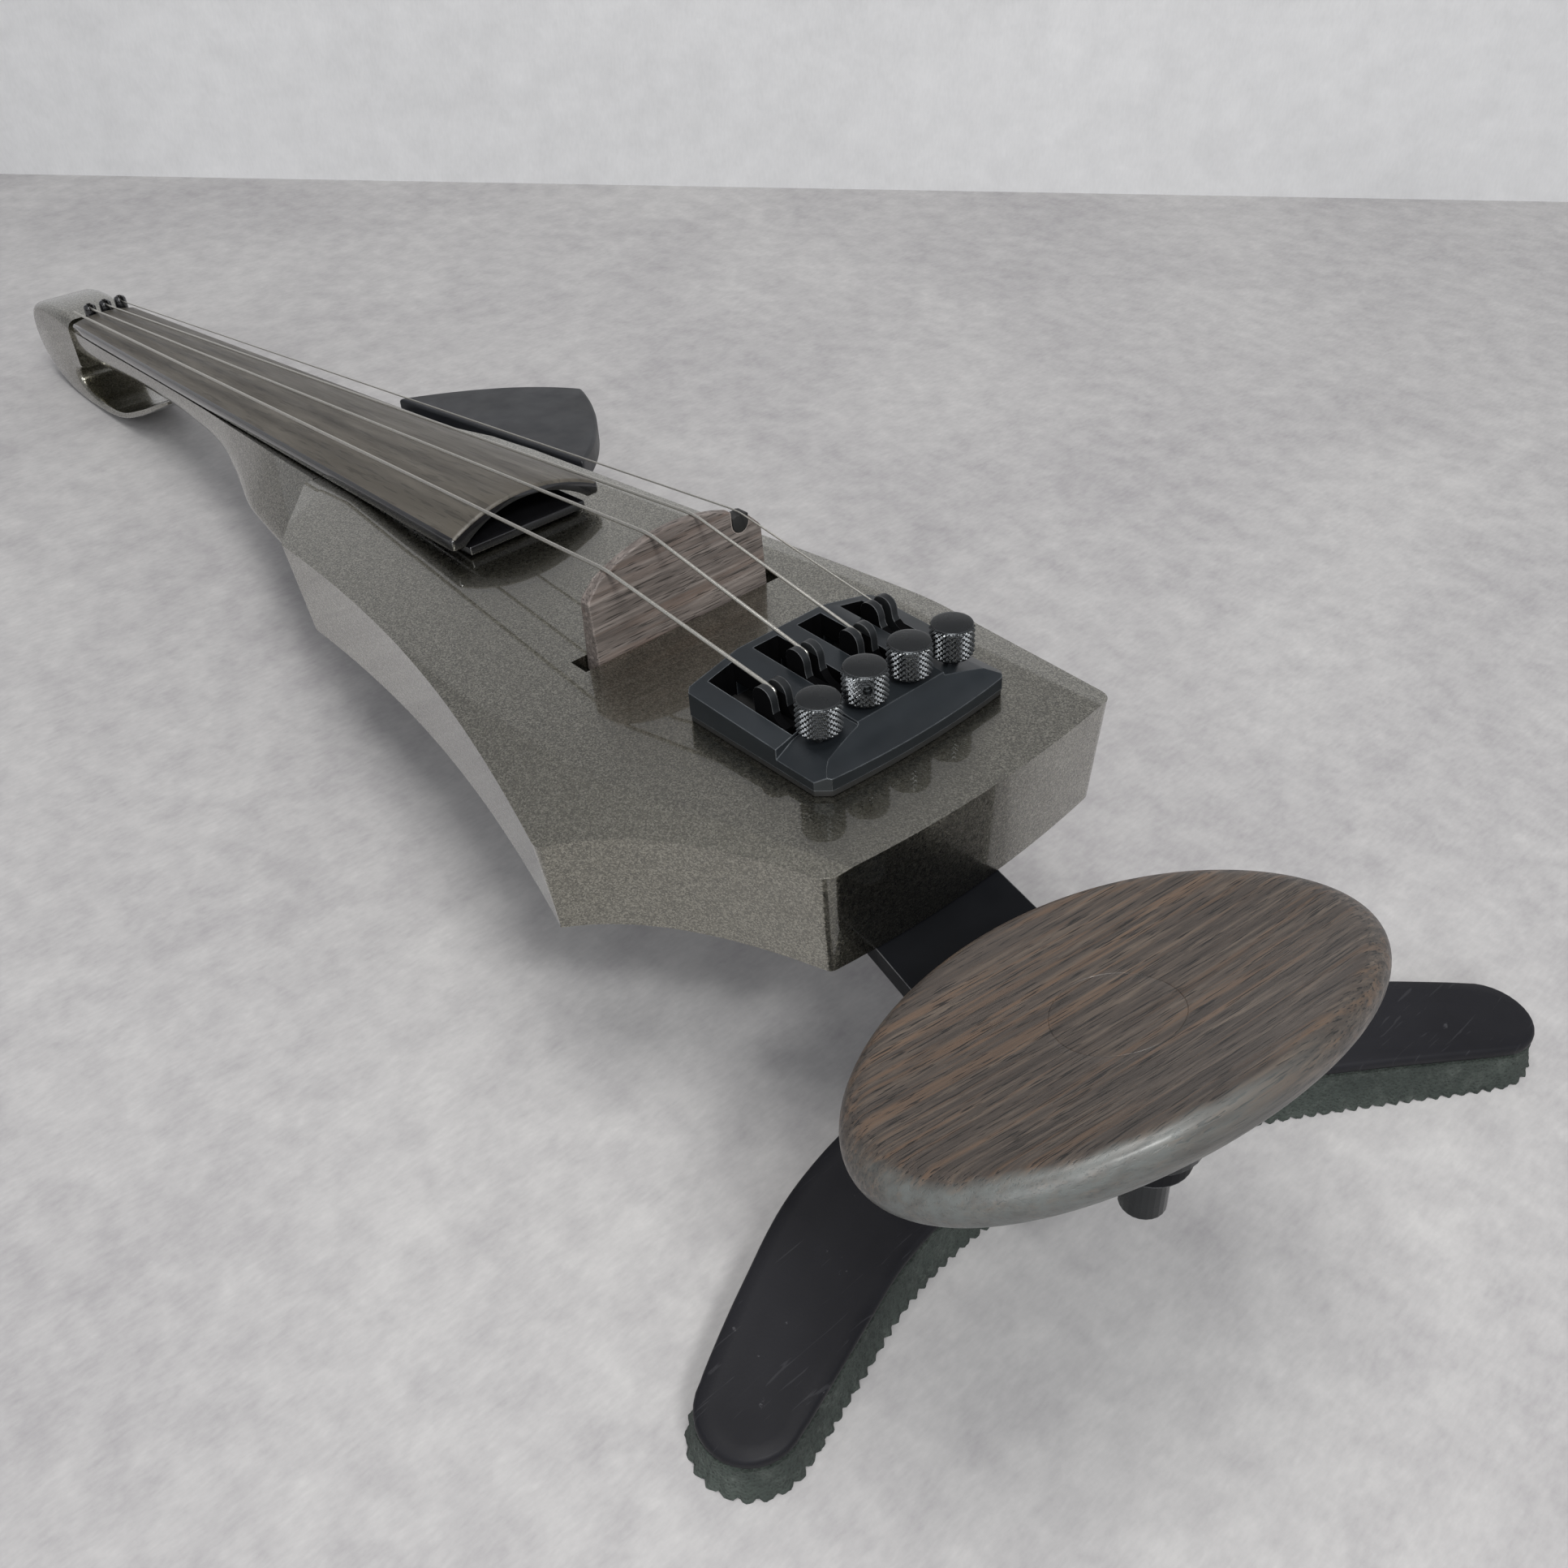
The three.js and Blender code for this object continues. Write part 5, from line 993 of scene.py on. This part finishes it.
def make_levers():
    tail, low, rear, high = -63.8, -4.1, -54.6, 6.3
    for i, (name, _, _, hook) in enumerate(STRINGS):
        y, top = hook_y(i), HOOK_TOP + raised(i)
        line = [(tail, -1.2), (tail, low), (-54.7, low)]
        for curve, n in (([(-54.7, low), (-48.4, low), (-47.8, 1.3)], 8),
                         ([(-47.8, 1.3), (hook + 2.35, 4.8), (hook + 2.45, top - 2.3)], 8),
                         ([(hook + 2.45, top - 2.3), (hook + 2.4, top), (hook, top)], 10),
                         ([(hook, top), (hook - 2.5, top), (hook - 2.75, top - 2.9)], 10),
                         ([(hook - 2.75, top - 2.9), (hook - 2.9, high), (rear, high)], 8)):
            line += [tuple(p) for p in bezier(curve, n)]
        line += [(rear, high), (rear, -1.2)]
        ob = prism(f"tuner_lever_{name}_hook", line, y - 2.68, y + 2.68, axis=1)
        gap = box("gap", hook - 7, hook + 7, y - 0.95, y + 0.95, top - 1.9, 22)
        drop = box("drop", hook - 7, hook, y - 0.95, y + 0.95, top - 6.9, 22)
        fork = box("fork", -70, -58.7, y - 1.85, y + 1.85, -14, 0)
        carve(ob, gap, drop, fork)
        bevelled(ob, 0.4, 3, limit=30)
        place(weighted(ob), f"lever_{name}", "satin_black", LEVER_BLACK, f"tuner_lever_{name}")
        blacken(ob, SHADE, lambda c, n: c.z < top - 4.6)


# Upper-bout plate

def make_bout_plate():
    low = -24.3
    root, tip, end = (112.2, -52.7), (157.25, -85), (195.5, -40.8)
    wing = bezier([root, (127.5, -74.8), tip], 24) + bezier([tip, (180.2, -72.25), end], 24)
    ob = prism("bout_wing", wing + [Vector(end)], low, -16.9)
    bevelled(ob, 1.0, 4, limit=35)
    flange = [(112, 33.7), (112, -52.7), (113.9, -53.5), (193.8, -41.6), (203, -13.8), (198, 6), (185.6, 13)]
    flange += [(165.1, 20), (138.2, 28.6)]
    under = prism("bout_flange", flange, low, -20.3)
    bevelled(under, 0.5, 2, limit=30)
    both = joined("upper_bout_plate_black", ob, under)
    place(weighted(both), ROOT, "satin_black", PLATE_BLACK, "upper_bout_plate")


# Chinrest

# Its lean and turn in degrees, the slide off its pin, and the height of the bracket's top over the pin
CHIN_LEAN, CHIN_TURN = 15, 80
CHIN_SLIDE_X, CHIN_SLIDE_Y, CHIN_SEAT = -1.1, 7.0, 11.6


def chin_frame():
    lean = Matrix.Rotation(math.radians(CHIN_LEAN), 4, "Y")
    turn = Matrix.Rotation(math.radians(CHIN_TURN), 4, "Z")
    lift = Matrix.Translation(Vector((CHIN_SLIDE_X, CHIN_SLIDE_Y, CHIN_SEAT + GAP + CHIN_THICK)) * MM)
    return Matrix.Translation(Vector(JOINTS["chin_tilt"]["pos_m"])) @ TILT @ lean @ lift @ turn


def dish(u, v):
    """Rise of the dished plate at shares of its half length and half width."""
    return 1.2 * u * u + 5 * v * v


def make_chinrest():
    steps = 128
    profile = [(s, -CHIN_THICK) for s in (ON_AXIS, 0.2, 0.4, 0.6, 0.75)]
    rim = CHIN_THICK / CHIN_WIDE
    for k in range(25):
        t = -math.pi / 2 + math.pi * k / 24
        bulge = rim * math.cos(t) ** 0.8 if 0 < k < 24 else 0
        profile.append((1 - rim + bulge, CHIN_THICK * math.sin(t)))
    profile += [(s, CHIN_THICK) for s in (0.78, 0.7, 0.62, 0.54, 0.47)]
    rings = []
    for share, z in profile:
        oval = circle(share, z, steps)
        rings.append([(u * CHIN_LONG, v * CHIN_WIDE, z + dish(u, v)) for u, v, z in oval])
    groove = [(PLUG + 2, 0), (PLUG + 0.1, 0), (PLUG + 0.05, 0.02), (PLUG, 0.1), (PLUG - 0.05, 0.1)]
    groove += [(PLUG - 0.1, 0.02), (PLUG - 0.15, 0), (7, 0), (4, 0), (1.5, 0), (NEAR_AXIS, 0)]
    for r, depth in groove:
        flat = circle(r, CHIN_THICK - depth, steps)
        rings.append([(x, y, z + dish(x / CHIN_LONG, y / CHIN_WIDE)) for x, y, z in flat])
    ob = loft("chinrest_oval", rings, chin_frame(), angle=50)
    place(ob, "chinrest", "chinrest_wood", CHIN_WOOD, "chinrest_plate", "chinrest_plug")


# Shoulder rest

# Half widths of its band at the ends and the middle, and points along its middle line
REST_ENDS, REST_MIDDLE = 9.6, 13.5
REST_POINTS = [
    (-14, 70), (-7, 52), (-1, 34), (1, 13), (-2, -9), (-10, -32), (-22, -54), (-37, -76), (-54, -99),
]


def rest_outline(flare, n=90, cap=16):
    """The rest's outline: a curved band with round ends, widened by a flare."""
    line = [Vector(p) for p in catmull(REST_POINTS, n)]
    tangents = [(line[min(i + 1, n)] - line[max(i - 1, 0)]).normalized() for i in range(n + 1)]

    def half(share):
        return lerp(REST_ENDS, REST_MIDDLE, max(math.sin(math.pi * share), 0) ** 0.8) + flare

    def end(p, t, h):
        turns = [math.pi * k / cap for k in range(1, cap)]
        return [p + t * (math.sin(a) * h) + Vector((-t.y, t.x)) * (math.cos(a) * h) for a in turns]

    left, right = [], []
    for i, (p, t) in enumerate(zip(line, tangents)):
        normal = Vector((-t.y, t.x))
        left.append(p + normal * half(i / n))
        right.append(p - normal * half(i / n))
    return left + end(line[-1], tangents[-1], half(1)) + right[::-1] + end(line[0], -tangents[0], half(0))


def rest_lift(y):
    """The rest sinks a little towards its ends."""
    return -4 * ((y + 12) / 90) ** 2


def evenly(line, count):
    """Points evenly spaced along a closed outline, and its length."""
    closed = np.array([tuple(p) for p in line + line[:1]])
    marks = np.append(0.0, np.cumsum(np.linalg.norm(np.diff(closed, axis=0), axis=1)))
    at = marks[-1] * np.arange(count) / count
    sides = [np.interp(at, marks, closed[:, k]) for k in (0, 1)]
    return [Vector(p) for p in zip(*sides)], marks[-1]


def make_shoulder_rest():
    where = Vector(JOINTS["shoulder_tilt"]["pos_m"])
    at = Matrix.Translation(where)
    floor = -where.z / MM
    line = rest_outline(0)
    area = sum(p.x * q.y - q.x * p.y for p, q in zip(line, line[1:] + line[:1]))
    inward = 1 if area > 0 else -1
    rings = []
    for depth, z in ((2.5, 0), (0.9, 0), (0.25, 0.25), (0, 0.9), (0, 1.9), (0.25, 2.5), (0.8, 2.8),
                     (3.0, 2.8), (6.0, 2.8)):
        rings.append([(p.x, p.y, floor + 11.7 + rest_lift(p.y) + z) for p in inset(line, inward * depth)])
    plate = loft("shoulder_rest_plate_black", rings, at, angle=50)
    place(plate, "shoulder_rest", "rest_plastic", REST_PLATE, "shoulder_rest_plate")
    rows, count = 12, 900
    dense, length = evenly(rest_outline(0.2), count)
    lobes = round(length / 3.0)
    nrm = inset(dense, -inward)
    rings = [[(p.x, p.y, floor + 11.3 + rest_lift(p.y)) for p in inset(dense, inward * 1.2)]]
    for j in range(rows + 1):
        share = j / rows
        ring = []
        for k, p in enumerate(inset(dense, -inward * (1.35 * share ** 1.5 - 0.15))):
            wave = abs(math.sin(math.pi * lobes * k / count))
            ripple = 0.18 * math.sin(k * 1.7 + j * 2.1) * math.sin(k * 0.37 + j)
            push = (wave - 0.4) * 0.7 * share ** 2 + ripple
            d = nrm[k] - dense[k]
            high = floor + 11.2 + rest_lift(p.y)
            low = floor + 0.05 + (0.45 * (1 - wave) if j == rows else 0)
            ring.append((p.x + d.x * push, p.y + d.y * push, lerp(high, low, share)))
        rings.append(ring)
    rings.append([(p.x, p.y, floor + 0.02) for p in inset(dense, inward * 1.5)])
    foam = loft("shoulder_rest_foam_pad", rings, at, angle=60)
    place(foam, "shoulder_rest", "foam", FOAM, "shoulder_rest_foam")


def repaint():
    """Gives the CAD nodes that stay their materials and softened edges."""
    kinds = {
        PICKUP: ["bridge_pickup"], CIRCUIT: ["tone_board"], RUBBER: ["pickup_lead"],
        STEEL: ["tuner_pivot_pin", "jack_socket", "volume_pot", "tone_pot", "chinrest_pin",
                "shoulder_rest_pin"],
        SATIN_BLACK: ["control_cover", "shoulder_rest_bracket"],
        RAIL_BLACK: ["bracket_rail", "chinrest_bracket"],
        BRASS: [f"tuner_nut_{name}" for name, *_ in STRINGS],
    }
    paints = {name: paint for paint, names in kinds.items() for name in names}
    for name, node in NODES.items():
        if node.hide_render:
            continue
        node.data.materials.clear()
        node.data.materials.append(paints.get(name, KNOB_BLACK))
        smooth(node.data)
        modify(node, "BEVEL", width=0.35 * MM, segments=2, limit_method="ANGLE",
               angle_limit=math.radians(35), use_clamp_overlap=True)
        modify(node, "WEIGHTED_NORMAL", keep_sharp=False, weight=60)


# Stage, light and camera

# The photo's camera in the instrument's frame: direction, height angle and roll in degrees, the point that
# it aims at and its distance from it, and its lens and sensor
CAMERA_ANGLES = (-39.94, 37.12, -3.72)
CAMERA_AIM, CAMERA_FAR = (-60.25, 24.24, 0), 270.5
LENS, SENSOR = 34.02, 36.0
# Half size of the floor and the wall, the wall's distance from the camera in metres and its turn in degrees
STAGE_HALF, WALL_FAR, WALL_TURN = 3000, 0.738, -3
# Lamps: name, place, target, width, height, power and colour, in metres and watts
LAMPS = [
    ("ceiling", (-0.16, 0.1, 1.15), (-0.1, 0, 0), 0.5, 0.5, 6.3, (1.0, 0.985, 0.96)),
    ("window", (-0.9, 0.9, 0.75), (-0.1, 0, 0.05), 0.9, 0.7, 7, (0.97, 0.98, 1.0)),
    ("sky_panel", (0.42, -0.42, 0.75), (-0.05, 0, 0), 1.1, 0.5, 5, (1.0, 0.99, 0.97)),
    ("edge_light", (-0.75, 0.2, 0.82), (-0.1, 0, 0.05), 0.22, 0.12, 4.5, (1.0, 1.0, 0.98)),
]
SKY, SKY_STRENGTH = (0.86, 0.88, 0.92, 1), 0.5


def mottled(name, low, high, scale):
    """Paper or cloth: soft clouds, a fine fibre texture and a slight bump."""
    p = Paint(name, Roughness=0.85)
    big = p.noise(scale, 6, 0.6, None, 0.4)
    small = p.noise(scale * 11, 5, 0.65)
    fibre = p.noise(1.0, 4, 0.6, p.scaled(900, 260, 900, (0, 0, 0.6)))
    tone = p.math("ADD", p.math("MULTIPLY", big, 0.5), p.math("MULTIPLY", small, 0.5))
    tone = p.math("ADD", p.math("MULTIPLY", tone, 0.8), p.math("MULTIPLY", fibre, 0.2))
    p.bump(fibre, 0.15, 0.0002)
    return p, p.ramp(tone, (0.36, low), (0.64, high))


def stage_plane(name, matrix, paint):
    h = STAGE_HALF
    ob = build(name, [(-h, -h, 0), (h, -h, 0), (h, h, 0), (-h, h, 0)], [(0, 1, 2, 3)], matrix)
    ob.data.materials.append(paint)


def make_camera():
    turn, rise, roll = (math.radians(v) for v in CAMERA_ANGLES)
    level = Matrix.Rotation(turn - math.pi / 2, 4, "Z") @ Matrix.Rotation(math.pi / 2 - rise, 4, "X")
    local = level @ Matrix.Rotation(roll, 4, "Z")
    forward = local.to_3x3() @ Vector((0, 0, -1))
    local.translation = (Vector(CAMERA_AIM) - forward * CAMERA_FAR) * MM
    data = bpy.data.cameras.new("camera")
    data.lens, data.sensor_width = LENS, SENSOR
    data.clip_start, data.clip_end = 0.01, 50
    camera = link("camera", data, INSTRUMENT @ local)
    bpy.context.scene.camera = camera


def make_stage():
    floor, tone = mottled("floor_cloth", (0.31, 0.3, 0.308), (0.475, 0.467, 0.463), 9.0)
    floor.to("Base Color", tone)
    stage_plane("floor", Matrix.Identity(4), floor.material)
    wall, tone = mottled("wall_paper", (0.56, 0.56, 0.565), (0.68, 0.68, 0.685), 6.0)
    # Painted shade: the wall is painted darker from 0.15 m to 0.4 m up.
    height = wall.node("ShaderNodeSeparateXYZ", {"Vector": wall.where}).outputs["Y"]
    shade_above = wall.ramp(wall.math("MULTIPLY", height, 2.0), (0.3, 0.0), (0.8, 1.0))
    wall.to("Base Color", wall.mix(shade_above, tone, (0.3, 0.3, 0.31)))
    camera = bpy.context.scene.camera.matrix_world
    ahead = camera.to_3x3() @ Vector((0, 0, -1))
    heading = math.atan2(ahead.y, ahead.x)
    centre = camera.translation + Vector((math.cos(heading), math.sin(heading), 0)) * WALL_FAR
    across = Matrix.Rotation(heading + math.pi / 2 + math.radians(WALL_TURN), 4, "Z")
    basis = Matrix.Translation((centre.x, centre.y, 0)) @ across @ Matrix.Rotation(math.pi / 2, 4, "X")
    stage_plane("backdrop", basis, wall.material)


def make_lights():
    world = bpy.data.worlds.new("studio")
    bpy.context.scene.world = world
    world.use_nodes = True
    sky = world.node_tree.nodes["Background"].inputs
    sky["Color"].default_value = SKY
    sky["Strength"].default_value = SKY_STRENGTH
    for name, where, target, width, height, power, colour in LAMPS:
        data = bpy.data.lights.new(name, "AREA")
        data.energy, data.color = power, colour
        data.shape = "RECTANGLE"
        data.size, data.size_y = width, height
        lamp = link(name, data, Matrix.Translation(where))
        lamp.rotation_euler = (Vector(target) - Vector(where)).to_track_quat("-Z", "Y").to_euler()


def main():
    make_body()
    make_neck()
    make_board()
    make_support()
    make_nut()
    make_bridge()
    for i in range(4):
        make_string(i)
    make_tuner_base()
    make_knobs()
    make_levers()
    make_bout_plate()
    make_chinrest()
    make_shoulder_rest()
    repaint()
    make_camera()
    make_stage()
    make_lights()
    bpy.context.scene.view_settings.view_transform = "Standard"


main()
